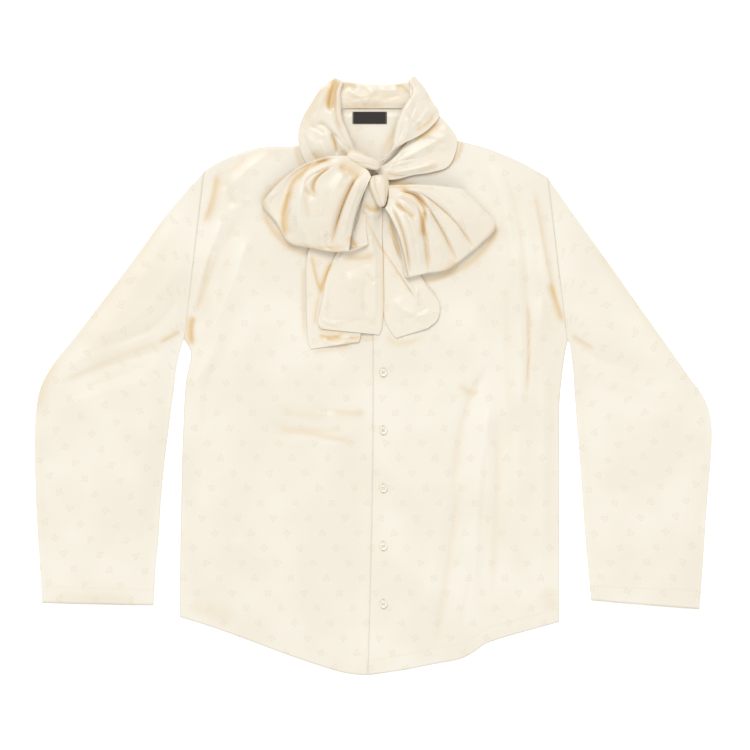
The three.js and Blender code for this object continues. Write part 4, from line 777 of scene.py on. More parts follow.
def blurred(z, reach):
    """z smoothed over reach cells in each direction."""
    for axis in (0, 1):
        kernel = np.hanning(2 * reach + 3)[1:-1]
        kernel /= kernel.sum()
        padded = np.pad(z, [(reach, reach) if k == axis else (0, 0) for k in (0, 1)], mode="edge")
        z = np.apply_along_axis(lambda line: np.convolve(line, kernel, "valid"), axis, padded)
    return z


def mesh_from(name, vertices, faces, rim, uv, hollow_shade):
    """A mesh in metres from points in millimetres. Its last faces, as many as rim says, are flat."""
    mesh = bpy.data.meshes.new(name)
    mesh.from_pydata((vertices * MM).tolist(), [], faces)
    mesh.polygons.foreach_set("use_smooth", np.arange(len(faces)) < len(faces) - rim)
    layer = mesh.uv_layers.new(name="cloth")
    corner = np.empty(len(mesh.loops), int)
    mesh.loops.foreach_get("vertex_index", corner)
    layer.data.foreach_set("uv", (uv[corner] * MM).ravel())
    # Each point's share of painted shade, which darkens and warms the satin's colour.
    mesh.attributes.new("hollow_shade", "FLOAT", "POINT").data.foreach_set("value", hollow_shade)
    mesh.validate()
    mesh.update()
    return mesh


def quads(a, b, c, d):
    """Four-sided faces from four grids of point numbers."""
    return np.stack([a.ravel(), b.ravel(), c.ravel(), d.ravel()], axis=1)


def sheet_mesh(name, upper, lower, uv, hollow_shade):
    """A closed thin sheet between two grids of points."""
    rows, columns = upper.shape[:2]
    top = np.arange(rows * columns).reshape(rows, columns)
    under = top + rows * columns
    faces = np.concatenate([
        quads(top[:-1, :-1], top[:-1, 1:], top[1:, 1:], top[1:, :-1]),
        quads(under[:-1, :-1], under[1:, :-1], under[1:, 1:], under[:-1, 1:]),
        quads(top[:-1, 0], top[1:, 0], under[1:, 0], under[:-1, 0]),
        quads(top[1:, -1], top[:-1, -1], under[:-1, -1], under[1:, -1]),
        quads(top[0, 1:], top[0, :-1], under[0, :-1], under[0, 1:]),
        quads(top[-1, :-1], top[-1, 1:], under[-1, 1:], under[-1, :-1]),
    ]).tolist()
    rim = 2 * (rows - 1) + 2 * (columns - 1)
    vertices = np.concatenate([upper.reshape(-1, 3), lower.reshape(-1, 3)])
    uv, hollow_shade = np.tile(uv.reshape(-1, 2), (2, 1)), np.tile(hollow_shade.ravel(), 2)
    return mesh_from(name, vertices, faces, rim, uv, hollow_shade)


def normals(grid):
    """The directions straight out of a grid of points."""
    across, along = np.gradient(grid, axis=1), np.gradient(grid, axis=0)
    normal = np.cross(across, along)
    return normal / np.maximum(np.linalg.norm(normal, axis=2, keepdims=True), 1e-9)


def run_lengths(grid):
    """Cloth coordinates of a grid: the length along its middle column and across each row."""
    across = np.cumsum(np.linalg.norm(np.diff(grid, axis=1, prepend=grid[:, :1]), axis=2), axis=1)
    along = np.cumsum(np.linalg.norm(np.diff(grid, axis=0, prepend=grid[:1]), axis=2), axis=0)
    return np.stack([across, np.broadcast_to(along.mean(axis=1, keepdims=True), across.shape)], axis=2)


def hollow_shade_of(z, shade):
    """How hollow the cloth is, as a share of painted shade: how far it lies under its own smoothed surface.
    """
    return shade["share"] * np.clip((blurred(z, shade["reach"]) - z) / shade["depth"], 0, 1)


def place(name, mesh, material, nodes):
    """Puts a piece on the one body, in the place of its nodes."""
    piece = bpy.data.objects.new(name, mesh)
    bpy.context.scene.collection.objects.link(piece)
    mesh.materials.clear()
    mesh.materials.append(material)
    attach(piece, "root")
    if nodes:
        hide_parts(*nodes)
    return piece


def place_sheet(name, upper, lower, uv, hollow_shade, nodes):
    """Places a sheet of satin, with the coordinates of its cloth."""
    mesh = sheet_mesh(name, upper, lower, uv, hollow_shade)
    piece = place(name, mesh, satin(), nodes)
    return piece


# Materials.
def linear(colour):
    """A colour for a shader from sRGB hex digits."""
    parts = [int(colour.lstrip("#")[i : i + 2], 16) / 255 for i in (0, 2, 4)]
    return tuple(c / 12.92 if c <= 0.04045 else ((c + 0.055) / 1.055) ** 2.4 for c in parts) + (1.0,)


def add(tree, kind, inputs=None, **settings):
    """Adds a node, with its settings and with numbers or links for its inputs."""
    node = tree.nodes.new(kind)
    for name, value in settings.items():
        setattr(node, name, value)
    for key, value in (inputs or {}).items():
        if isinstance(value, bpy.types.NodeSocket):
            tree.links.new(value, node.inputs[key])
        else:
            node.inputs[key].default_value = value
    return node


def maths(tree, operation, a, b=0.0):
    """One step of arithmetic in a material."""
    return add(tree, "ShaderNodeMath", {0: a, 1: b}, operation=operation).outputs[0]


def mixed(tree, factor, a, b):
    """A colour between a and b."""
    node = add(tree, "ShaderNodeMix", {0: factor, 6: a, 7: b}, data_type="RGBA")
    return node.outputs[2]


def ramp(tree, value, low, high, first=0.0, last=1.0):
    """A soft step from first to last between two limits."""
    inputs = {"Value": value, "From Min": low, "From Max": high, "To Min": first, "To Max": last}
    return add(tree, "ShaderNodeMapRange", inputs, interpolation_type="SMOOTHSTEP").outputs[0]


def new_material(name):
    """An empty material, its tree of nodes and its shader."""
    material = bpy.data.materials.new(name)
    material.use_nodes = True
    tree = material.node_tree
    tree.nodes.clear()
    shader = add(tree, "ShaderNodeBsdfPrincipled")
    add(tree, "ShaderNodeOutputMaterial", {"Surface": shader.outputs[0]})
    return material, tree, shader


def motif_mask(tree, u, v, pitch):
    """Small three- and four-lobed outlines with a dot, each row set off from the last."""
    step = pitch * MOTIF["row_step"]
    row = maths(tree, "FLOOR", maths(tree, "DIVIDE", v, step))
    run = maths(tree, "ADD", maths(tree, "DIVIDE", u, pitch), maths(tree, "MULTIPLY", row, MOTIF["set_off"]))
    place_in_row = maths(tree, "FLOOR", run)
    x = maths(tree, "MULTIPLY", maths(tree, "SUBTRACT", maths(tree, "FRACT", run), 0.5), pitch)
    y = maths(tree, "SUBTRACT", maths(tree, "FLOORED_MODULO", v, step), step * 0.5)
    squares = maths(tree, "ADD", maths(tree, "MULTIPLY", x, x), maths(tree, "MULTIPLY", y, y))
    radius = maths(tree, "SQRT", squares)
    kind = maths(tree, "FLOORED_MODULO", maths(tree, "ADD", row, place_in_row), 2.0)
    turned = maths(tree, "ADD", maths(tree, "ARCTAN2", y, x), maths(tree, "MULTIPLY", row, MOTIF["turn"]))
    lobes = maths(tree, "COSINE", maths(tree, "MULTIPLY", turned, maths(tree, "SUBTRACT", 4.0, kind)))
    outline = maths(tree, "ADD", maths(tree, "MULTIPLY", lobes, MOTIF["lobe"]), MOTIF["radius"])
    off = maths(tree, "ABSOLUTE", maths(tree, "SUBTRACT", radius, outline))
    ring = ramp(tree, off, *MOTIF["line"], 1.0, 0.0)
    dot = ramp(tree, radius, *MOTIF["dot"], 1.0, 0.0)
    return maths(tree, "MAXIMUM", ring, dot)


def satin():
    """Cream silk satin with a tonal woven motif, and painted shade that makes it darker and warmer where it
    folds in.
    """
    if "Satin" in bpy.data.materials:
        return bpy.data.materials["Satin"]
    sizes, colours = bpy.context.scene.blouse_sizes, bpy.context.scene.blouse_colours
    material, tree, shader = new_material("Satin")
    cloth = add(tree, "ShaderNodeUVMap", uv_map="cloth").outputs[0]
    place_of = add(tree, "ShaderNodeTexCoord").outputs["Object"]
    split = add(tree, "ShaderNodeSeparateXYZ", {0: cloth})
    u, v = split.outputs[0], split.outputs[1]
    motif = motif_mask(tree, u, v, sizes.motif_pitch)
    hollow_shade = add(tree, "ShaderNodeAttribute", attribute_name="hollow_shade").outputs["Fac"]
    patches = add(tree, "ShaderNodeTexNoise", {"Vector": place_of, "Scale": 9.0, "Detail": 2.0}).outputs[0]
    cream = mixed(tree, ramp(tree, patches, 0.35, 0.7), linear(colours.silk), linear(colours.silk_light))
    # Painted shade: the cream goes over to the darker, warmer crease colour by the share of painted shade
    # stored on each point.
    shaded_cream = mixed(tree, hollow_shade, cream, linear(colours.painted_crease_shade))
    colour = mixed(tree, maths(tree, "MULTIPLY", motif, 0.42), shaded_cream, linear(colours.motif))
    tree.links.new(colour, shader.inputs["Base Color"])
    rough = ramp(tree, motif, 0.0, 1.0, sizes.satin_roughness, sizes.satin_roughness + 0.2)
    tree.links.new(rough, shader.inputs["Roughness"])
    # The weave: fine floats along the warp, and a soft unevenness of the cloth over a few centimetres.
    stretched = add(tree, "ShaderNodeMapping", {"Vector": cloth, "Scale": (2600.0, 420.0, 1.0)}).outputs[0]
    floats = add(tree, "ShaderNodeTexNoise", {"Vector": stretched, "Scale": 1.0, "Detail": 1.0}).outputs[0]
    inputs = {"Vector": place_of, "Scale": 26.0, "Detail": 3.0, "Roughness": 0.45}
    crumple = add(tree, "ShaderNodeTexNoise", inputs)
    broad = add(tree, "ShaderNodeTexNoise", {"Vector": place_of, "Scale": 10.0, "Detail": 1.0})
    bump = add(tree, "ShaderNodeBump", {"Height": floats, "Strength": 0.25, "Distance": 0.00006})
    bump = add(tree, "ShaderNodeBump", {
        "Height": motif, "Strength": 0.5, "Distance": 0.00012, "Normal": bump.outputs[0],
    })
    bump = add(tree, "ShaderNodeBump", {
        "Height": crumple.outputs[0], "Strength": 0.6, "Distance": sizes.crumple, "Normal": bump.outputs[0],
    })
    bump = add(tree, "ShaderNodeBump", {
        "Height": broad.outputs[0], "Strength": 0.6, "Distance": sizes.crumple * 4, "Normal": bump.outputs[0],
    })
    tree.links.new(bump.outputs[0], shader.inputs["Normal"])
    shader.inputs["Sheen Weight"].default_value = 0.2
    shader.inputs["Sheen Roughness"].default_value = 0.4
    shader.inputs["Specular IOR Level"].default_value = 0.6
    return material


def plain_cloth(name, colour, weave_scale, roughness):
    """A closely woven matt cloth or thread."""
    if name in bpy.data.materials:
        return bpy.data.materials[name]
    material, tree, shader = new_material(name)
    spot = add(tree, "ShaderNodeTexCoord").outputs["Object"]
    inputs = {"Vector": spot, "Scale": weave_scale, "Distortion": 1.5, "Detail": 2.0}
    weave = add(tree, "ShaderNodeTexWave", inputs)
    inputs = {"Vector": spot, "Scale": weave_scale * 1.5, "Detail": 3.0}
    grain = add(tree, "ShaderNodeTexNoise", inputs).outputs[0]
    light = tuple(min(1.0, c * 1.25 + 0.004) for c in linear(colour)[:3]) + (1.0,)
    tree.links.new(mixed(tree, grain, linear(colour), light), shader.inputs["Base Color"])
    bump = add(tree, "ShaderNodeBump", {"Height": weave.outputs[1], "Strength": 0.5, "Distance": 0.0001})
    tree.links.new(bump.outputs[0], shader.inputs["Normal"])
    shader.inputs["Roughness"].default_value = roughness
    return material


def pearl():
    """Polished, faintly clouded cream button."""
    if "Pearl" in bpy.data.materials:
        return bpy.data.materials["Pearl"]
    colours = bpy.context.scene.blouse_colours
    material, tree, shader = new_material("Pearl")
    spot = add(tree, "ShaderNodeTexCoord").outputs["Object"]
    cloud = add(tree, "ShaderNodeTexNoise", {"Vector": spot, "Scale": 260.0, "Detail": 3.0}).outputs[0]
    colour = mixed(tree, ramp(tree, cloud, 0.35, 0.7), linear(colours.button), linear(colours.button_light))
    tree.links.new(colour, shader.inputs["Base Color"])
    tree.links.new(ramp(tree, cloud, 0.2, 0.8, 0.16, 0.3), shader.inputs["Roughness"])
    shader.inputs["Coat Weight"].default_value = 0.4
    return material


# The body.
def front_lift(x, y, from_side, from_hem, from_top):
    """How far a front stands off the back: its puff and folds, flat at the lap and under the bow."""
    lap = smooth(2 - np.abs(x - BUTTON_ROW["x"]) / LAP_FADE)
    out = np.hypot((x - BOW_SHADE["x"]) / BOW_SHADE["rx"], (y - BOW_SHADE["y"]) / BOW_SHADE["ry"])
    bow = smooth((1.15 - out) / 0.3)
    seams = smooth(from_side / PUFF_RAMP) * smooth(from_hem / PUFF_RAMP) * smooth(from_top / PUFF_RAMP)
    folds = smooth(from_side / 18) * smooth((from_hem + 12) / 40) * smooth((from_top + 4) / 30)
    relief = folds * FRONT_RELIEF * fold_lift(FRONT_FOLDS + FRONT_SMALL_FOLDS, x, y)
    lift = np.maximum(0, PUFF * seams + relief)
    return mix(lift, LAP_LIFT, np.maximum(lap, bow))


def front_right(u, v):
    """The upper face of the wearer's right front at shares u across and v up."""
    xy = coons(
        through(HEM_RIGHT + UNDER_EDGE[:1], u, True),
        through(SHOULDER_RIGHT + NECKLINE_RIGHT[1:] + UNDER_EDGE[-1:], u, True),
        body_side(SIDE_RIGHT, SHOULDER_RIGHT[0], v),
        through(UNDER_EDGE, v, True),
        u, v,
    )
    x, y = xy[..., 0], xy[..., 1]
    width, length = FRONT_RIGHT_SPAN
    lift = front_lift(x, y, u[None, :] * width, v[:, None] * length, (1 - v[:, None]) * length)
    return np.stack([x, y, FRONT_FLOOR + CLOTH + lift], axis=2)


def front_left(u, v):
    """The upper face of the wearer's left front, which laps over the right one."""
    xy = coons(
        through(HEM_LEFT, u, True),
        through(NECKLINE_LEFT + SHOULDER_LEFT[1:], u, True),
        through(CENTRE_EDGE, v, True),
        body_side(SIDE_LEFT, SHOULDER_LEFT[-1], v),
        u, v,
    )
    x, y = xy[..., 0], xy[..., 1]
    lap = smooth(2.4 - (x + 2) / (LAP_WIDTH + 4))
    width, length = FRONT_LEFT_SPAN
    lift = front_lift(x, y, (1 - u[None, :]) * width, v[:, None] * length, (1 - v[:, None]) * length)
    return np.stack([x, y, FRONT_FLOOR + CLOTH + LAP_STEP * lap + lift], axis=2)


def back(u, v):
    """The upper face of the back, which lies flat."""
    xy = coons(
        through(HEM_RIGHT + HEM_LEFT[1:], u, True),
        through(SHOULDER_RIGHT[:-1] + BACK_NECK + SHOULDER_LEFT[1:], u, True),
        body_side(SIDE_RIGHT, SHOULDER_RIGHT[0], v),
        body_side(SIDE_LEFT, SHOULDER_LEFT[-1], v),
        u, v,
    )
    return np.concatenate([xy, np.full(xy.shape[:2] + (1,), CLOTH)], axis=2)


def with_painted_shade(hollow_shade, lines, points):
    """Adds the lines of painted shade and shadow to the painted shade of the hollows."""
    return np.clip(hollow_shade + fold_lift(lines, points[..., 0], points[..., 1]), 0, 1)


def place_panel(name, face, rows, columns, node, shade_lines):
    """Places a front or the back under its upper face."""
    upper = face(np.linspace(0, 1, columns), np.linspace(0, 1, rows))
    lower = upper - np.array([0, 0, SHELL])
    # Painted shade from the panel's hollows and from its lines of painted shade and shadow.
    hollow_shade = with_painted_shade(hollow_shade_of(upper[..., 2], BODY_HOLLOW_SHADE), shade_lines, upper)
    return place_sheet(name, upper, lower, upper[..., :2], hollow_shade, [node])


# The sleeves.
def sleeve_rings(rows, share):
    """Rings of points round a sleeve at shares of its length, and the coordinates of its cloth."""
    a, b = column(rows, "outer", share), column(rows, "inner", share)
    width = np.linalg.norm(b - a, axis=1)
    edge = SLEEVE["edge"]
    puff = mix(SLEEVE_ARMHOLE_PUFF, SLEEVE["puff"], smooth(share * 4)) * smooth((1.12 - share) * 6)
    height = 2 * CLOTH + mix(SLEEVE_ARMHOLE_AIR, SLEEVE["seam_air"], smooth(share * 8))
    turn = np.radians(np.linspace(-90, 90, 9))[1:-1]
    inset = edge * (1 - np.cos(turn))
    rings, cloth = [], []
    along = np.cumsum(np.r_[0, np.linalg.norm(np.diff((a + b) / 2, axis=0), axis=1)])
    for i in range(len(share)):
        w = np.linspace(edge, width[i] - edge, 76)
        x, y = mix(a[i, 0], b[i, 0], w / width[i]), mix(a[i, 1], b[i, 1], w / width[i])
        edges = smooth((w - edge) / 30) * smooth((width[i] - edge - w) / 30)
        folds = SLEEVE_RELIEF * fold_lift(SLEEVE_FOLDS + SLEEVE_SMALL_FOLDS, x, y)
        folds = folds * smooth(w / 16) * smooth((width[i] - w) / 16)
        top = height[i] + np.maximum(0, puff[i] * edges + folds)
        half = height[i] / 2
        # Along the underside, up round the inner edge, back over the top and down round the outer edge.
        ring_w = np.r_[w[::5], width[i] - inset, w[::-1], inset]
        ring_z = np.r_[w[::5] * 0, half * (1 + np.sin(turn)), top[::-1], half * (1 - np.sin(turn))]
        ring_xy = [mix(a[i, k], b[i, k], ring_w / width[i]) for k in (0, 1)]
        rings.append(np.stack([*ring_xy, ring_z], axis=1))
        run = np.r_[0, np.cumsum(np.hypot(np.diff(ring_w), np.diff(ring_z)))]
        cloth.append(np.stack([run, np.full(len(run), along[i])], axis=1))
    return np.array(rings), np.array(cloth)


def place_sleeve(name, rows, wearers_left, node):
    """Places a sleeve, a flattened tube open at both ends."""
    rings, cloth = sleeve_rings(rows, np.linspace(0, 1, 150))
    if wearers_left:
        rings, cloth = rings[:, ::-1], cloth[:, ::-1]
    count, around = rings.shape[:2]
    along = np.gradient(rings, axis=0)
    padded = np.concatenate([rings[:, -1:], rings, rings[:, :1]], axis=1)
    across = (padded[:, 2:] - padded[:, :-2]) / 2
    normal = np.cross(across, along)
    normal /= np.maximum(np.linalg.norm(normal, axis=2, keepdims=True), 1e-9)
    inner = rings - normal * SHELL
    flat_under = rings[..., 2] < 0.01
    inner[flat_under] = rings[flat_under] + np.array([0, 0, SHELL])
    out = np.arange(count * around).reshape(count, around)
    out = np.concatenate([out, out[:, :1]], axis=1)
    within = out + count * around
    faces = np.concatenate([
        quads(out[:-1, :-1], out[:-1, 1:], out[1:, 1:], out[1:, :-1]),
        quads(within[:-1, :-1], within[1:, :-1], within[1:, 1:], within[:-1, 1:]),
        quads(out[0, 1:], out[0, :-1], within[0, :-1], within[0, 1:]),
        quads(out[-1, :-1], out[-1, 1:], within[-1, 1:], within[-1, :-1]),
    ]).tolist()
    # Painted shade from the sleeve's hollows and its lines of painted shade, only on its upper side.
    hollow_shade = with_painted_shade(hollow_shade_of(rings[..., 2], BODY_HOLLOW_SHADE), SLEEVE_PAINTED_SHADE, rings)
    hollow_shade = hollow_shade * (rings[..., 2] > SLEEVE_TOP_FROM)
    uv = np.tile(cloth.reshape(-1, 2), (2, 1)) + np.array(SLEEVE_CLOTH_START)
    vertices = np.concatenate([rings.reshape(-1, 3), inner.reshape(-1, 3)])
    mesh = mesh_from(name, vertices, faces, 2 * around, uv, np.tile(hollow_shade.ravel(), 2))
    piece = place(name, mesh, satin(), [node])
    return piece


# The collar and the tie.
def place_folded(name, middle, node, held, rests_on, shade_lines, cloth_start):
    """Places a sheet of the collar or the tie from its middle surface."""
    reach = normals(middle) * TIE_SHELL / 2
    uv = run_lengths(middle) + np.array(cloth_start)
    # Painted shade: a base over the whole piece, more in its hollows and along its lines of painted shade and
    # shadow.
    hollow_shade = with_painted_shade(TIE_PAINTED_SHADE + hollow_shade_of(middle[..., 2], TIE_HOLLOW_SHADE), shade_lines, middle)
    return place_sheet(name, middle + reach, middle - reach, uv, hollow_shade, [node])


def collar_band():
    """The back of the collar: up from the neck seam, over its top edge and down on itself."""
    edge = through(BAND_EDGE, np.linspace(0, 1, 90))
    seam = NECK_SEAM_Y + SEAM_GAP
    low, turn = TIE_CLOTH / 2, 1.7
    reach = edge[:, 1] - turn - TIE_CLOTH / 2 - seam
    angle = np.radians(np.linspace(0, 180, 11))
    under = np.linspace(0, 0.97, 12)
    over = np.linspace(0.97, 0, 34)
    first_over = len(under) + len(angle)
    y = np.concatenate([
        seam + np.outer(under, reach),
        seam + reach[None, :] + turn * np.sin(angle)[:, None],
        seam - 0.7 * (over[:, None] < 0.01) + np.outer(over, reach),
    ])
    x = np.broadcast_to(edge[:, 0], y.shape)
    rise = low + turn * (1 - np.cos(angle))
    flat = np.r_[np.full(len(under), low), rise, np.full(len(over), low + 2 * turn)]
    z = np.broadcast_to(flat[:, None], y.shape).copy()
    z[first_over:] = mix(low + 1.1, z[first_over:], smooth((y[first_over:] - seam) / 9))
    lift = np.maximum(-0.8, fold_lift(BAND_FOLDS + BAND_SMALL_FOLDS, x, y))
    lift = lift * smooth((48 - np.abs(x)) / 14)
    z[first_over:] += lift[first_over:]
    return np.stack([x, y, z], axis=2)


def collar_side(rows, folds, wearers_left):
    """A side of the collar: a stand, the roll and the fall."""
    v = np.linspace(0, 1, 120)
    station = v if wearers_left else 1 - v
    a, b = column(rows, "roll", station), column(rows, "edge", station)
    width = np.linalg.norm(b - a, axis=1)[:, None]
    top = column(rows, "crest", station)[:, None] - TIE_CLOTH / 2
    low = column(rows, "rim", station)[:, None] - TIE_CLOTH / 2
    radius = (top - STAND_Z) / 2
    inset = np.minimum(radius, width * 0.3)
    stand = np.linspace(1, 0.08, 8)[None, :]
    turn = np.radians(np.linspace(0, 180, 15))[None, :]
    fall = np.linspace(0.02, 1, 70)[None, :]
    first_fall = stand.size + turn.size
    reach = np.hstack([
        mix(inset, np.minimum(20, width * 0.55), stand),
        inset * (1 - np.sin(turn)),
        mix(inset, width, fall),
    ])
    x = mix(a[:, :1], b[:, :1], reach / width)
    y = mix(a[:, 1:], b[:, 1:], reach / width)
    fade = smooth(fall * 5) * smooth((1.15 - fall) * 4)
    lift = fold_lift(folds, x[:, first_fall:], y[:, first_fall:]) * fade
    fallen = np.maximum(mix(top, low, smooth(fall)) + lift, low)
    level = np.full((len(v), stand.size), STAND_Z)
    z = np.hstack([level, STAND_Z + radius * (1 - np.cos(turn)), fallen])
    return np.stack([x, y, z], axis=2)


def tie_stretch(rows, folds):
    """A stretch of the tie that lies on the body."""
    v = np.linspace(0, 1, 110)
    u = np.linspace(0, 1, 80)
    near, far = column(rows, "near", 1 - v), column(rows, "far", 1 - v)
    x = mix(near[:, :1], far[:, :1], u[None, :])
    y = mix(near[:, 1:], far[:, 1:], u[None, :])
    inside = smooth(u * 6) * smooth((1 - u) * 6)
    floor = column(rows, "floor", 1 - v)[:, None]
    far_floor = column(rows, "far_floor", 1 - v)[:, None] if "far_floor" in rows[0] else floor
    floor = mix(floor, far_floor, smooth(u * 2.2 - 1.2)[None, :])
    z = floor + TIE_CLOTH / 2 + np.maximum(-0.2, fold_lift(folds, x, y)) * inside[None, :]
    return np.stack([x, y, z], axis=2)


def bow_loop(rows, folds, mouth, wearers_left):
    """A loop of the bow: out from the knot, round the folded edge and back underneath."""
    v = np.linspace(0, 1, 150)
    across = v if wearers_left else 1 - v
    root, via, tip = (column(rows, name, across) for name in ("root", "via", "tip"))
    heights = (column(rows, name, across)[:, None] for name in ("root_z", "tip_z", "full"))
    root_z, tip_z, full = heights
    length = np.linalg.norm(tip - root, axis=1)[:, None]
    radius = LOOP["fold_radius"]
    turn = radius / length
    out = np.linspace(0, 1, 80)[None, :]
    angle = np.radians(np.linspace(8, 172, 13))[None, :]
    home = np.linspace(1, 0, 26)[None, :]
    q = np.hstack([out * (1 - turn), 1 - turn + turn * np.sin(angle), home * (1 - turn)])
    control = 2 * via - (root + tip) / 2

    def bend(k):
        near, middle, far = root[:, k, None], control[:, k, None], tip[:, k, None]
        return (1 - q) ** 2 * near + 2 * q * (1 - q) * middle + q**2 * far

    x, y = bend(0), bend(1)
    floor = mix(root_z, tip_z, q) + TIE_CLOTH / 2
    shares = (0 * out, smooth((np.degrees(angle) - 30) / 120), 0 * home + 1)
    under = np.hstack([share + 0 * turn for share in shares])
    openness = under * across[:, None] ** 4 * q
    x, y = x + mouth[0] * openness, y + mouth[1] * openness
    n, edge_end = out.size, out.size + angle.size
    swell = np.sin(np.pi * np.minimum(1, q[:, :n] / (1 - turn)) ** 0.85)
    root_lift = (LOOP["root_height"] - 2 * radius) * (1 - q[:, :n])
    plain = floor[:, :n] + 2 * radius + root_lift + (full - 2 * radius) * swell * 0.8
    fade = smooth(q[:, :n] * 5) * smooth((1.08 - q[:, :n]) * 5)
    folded = plain + fold_lift(folds, x[:, :n], y[:, :n], True) * fade
    over = np.maximum(folded, floor[:, :n] + 2 * radius - 1)
    round_tip = floor[:, n:edge_end] + radius + radius * np.cos(angle)
    z = np.hstack([over, round_tip, floor[:, edge_end:]])
    return np.stack([x, y, z], axis=2)


def knot_wrap(wrap, pleats, taper):
    """A rounded wrap with creases that run along it, as a closed mesh."""
    along = np.linspace(0, np.pi, 90)[1:-1]
    round_it = np.linspace(0, 2 * np.pi, 160, endpoint=False)
    x = np.cos(along)[:, None] + 0 * round_it[None, :]
    girth = np.sin(along)[:, None]
    power = KNOT_SQUARE
    squared = 1 / (np.abs(np.cos(round_it)) ** power + np.abs(np.sin(round_it)) ** power) ** (1 / power)
    y, z = girth * np.cos(round_it) * squared, girth * np.sin(round_it) * squared
    blunt = 1 / (np.abs(x) ** KNOT_BLUNT + girth**KNOT_BLUNT) ** (1 / KNOT_BLUNT)
    shrink = np.ones_like(x)
    for number, depth, twist, start in pleats:
        beat = np.abs(np.cos(number * (round_it[None, :] + twist * x) + start))
        shrink = shrink - depth * (1 - beat**0.6) * smooth(girth * 1.6)
    slim = mix(*taper, smooth((x + 1) / 1.5))
    length, width, height = wrap["half"]
    points = np.stack([
        x * blunt * length,
        y * blunt * shrink * slim * width,
        z * blunt * shrink * mix(1, slim, 0.5) * height,
    ], axis=2)
    turn = np.radians(wrap["turn"])
    spun = np.stack([
        points[..., 0] * np.cos(turn) - points[..., 1] * np.sin(turn),
        points[..., 0] * np.sin(turn) + points[..., 1] * np.cos(turn),
        points[..., 2],
    ], axis=2) + np.array(wrap["centre"])
    count, around = spun.shape[:2]
    ids = np.arange(count * around).reshape(count, around)
    ids = np.concatenate([ids, ids[:, :1]], axis=1)
    faces = quads(ids[:-1, :-1], ids[1:, :-1], ids[1:, 1:], ids[:-1, 1:]).tolist()
    ends = np.array([spun[0].mean(axis=0), spun[-1].mean(axis=0)])
    first, last = count * around, count * around + 1
    faces += [[first, ids[0, j], ids[0, j + 1]] for j in range(around)]
    faces += [[last, ids[-1, j + 1], ids[-1, j]] for j in range(around)]
    vertices = np.concatenate([spun.reshape(-1, 3), ends])
    run = np.stack([x * length + 60, round_it[None, :] * height + 0 * x], axis=2).reshape(-1, 2)
    uv = np.concatenate([run, run[:1], run[-1:]])
    # Painted shade: darker and warmer round the wrap's flanks and underside than on its top, more in its
    # pleats, and at its two end points.
    flank_shade = 0.16 + 0.34 * smooth(1 - np.sin(round_it))[None, :]
    hollow_shade = np.concatenate([(flank_shade + np.clip((0.93 - shrink) * 3, 0, 0.5)).ravel(), [0.5, 0.5]])
    return vertices, faces, uv, hollow_shade


def place_wrap(name, wrap, pleats, taper, node):
    """Places one of the knot's two padded wraps."""
    vertices, faces, uv, hollow_shade = knot_wrap(wrap, pleats, taper)
    mesh = mesh_from(name, vertices, faces, 0, uv, hollow_shade)
    piece = place(name, mesh, satin(), [node])
    return piece


# What is sewn on.
def button_mesh(name, centre, seat):
    """A four-hole button with a raised, rounded rim."""
    mesh = bpy.data.meshes.new(name)
    form = bmesh.new()
    radius, height, offset = BUTTON["radius"], BUTTON["height"], BUTTON["hole_offset"]
    well = height - BUTTON["rim_depth"]

    def ring(x, y, z, reach, sides):
        turns = np.linspace(0, 2 * np.pi, sides, endpoint=False)
        return [form.verts.new((x + reach * np.cos(t), y + reach * np.sin(t), z)) for t in turns]

    def wall(lower, upper):
        for k in range(len(lower)):
            after = (k + 1) % len(lower)
            form.faces.new((lower[k], lower[after], upper[after], upper[k]))

    profile = [
        (radius - 1.5, 0),
        (radius - 0.5, 0.25),
        (radius, height * 0.5),
        (radius - 0.35, height - 0.25),
        (radius - 0.8, height),
        (radius - 1.2, height - 0.2),
        (radius - 1.6, well),
    ]
    rings = [ring(0, 0, z, reach, 48) for reach, z in profile]
    for lower, upper in zip(rings, rings[1:]):
        wall(lower, upper)
    corners = ((offset, offset), (-offset, offset), (-offset, -offset), (offset, -offset))
    holes = [ring(x, y, z, BUTTON["hole_radius"], 12) for x, y in corners for z in (well, 0)]
    for upper, lower in zip(holes[::2], holes[1::2]):
        wall(upper, lower)
    for outer, level in ((rings[-1], holes[::2]), (rings[0], holes[1::2])):
        edges = []
        for loop in (outer, *level):
            edges += [form.edges.get((loop[k], loop[(k + 1) % len(loop)])) for k in range(len(loop))]
        bmesh.ops.triangle_fill(form, edges=edges, use_beauty=True)
    bmesh.ops.recalc_face_normals(form, faces=form.faces)
    for vertex in form.verts:
        vertex.co = (vertex.co + Vector((centre[0], centre[1], seat))) * MM
    form.to_mesh(mesh)
    form.free()
    mesh.shade_smooth()
    mesh.set_sharp_from_angle(angle=0.9)
    return mesh


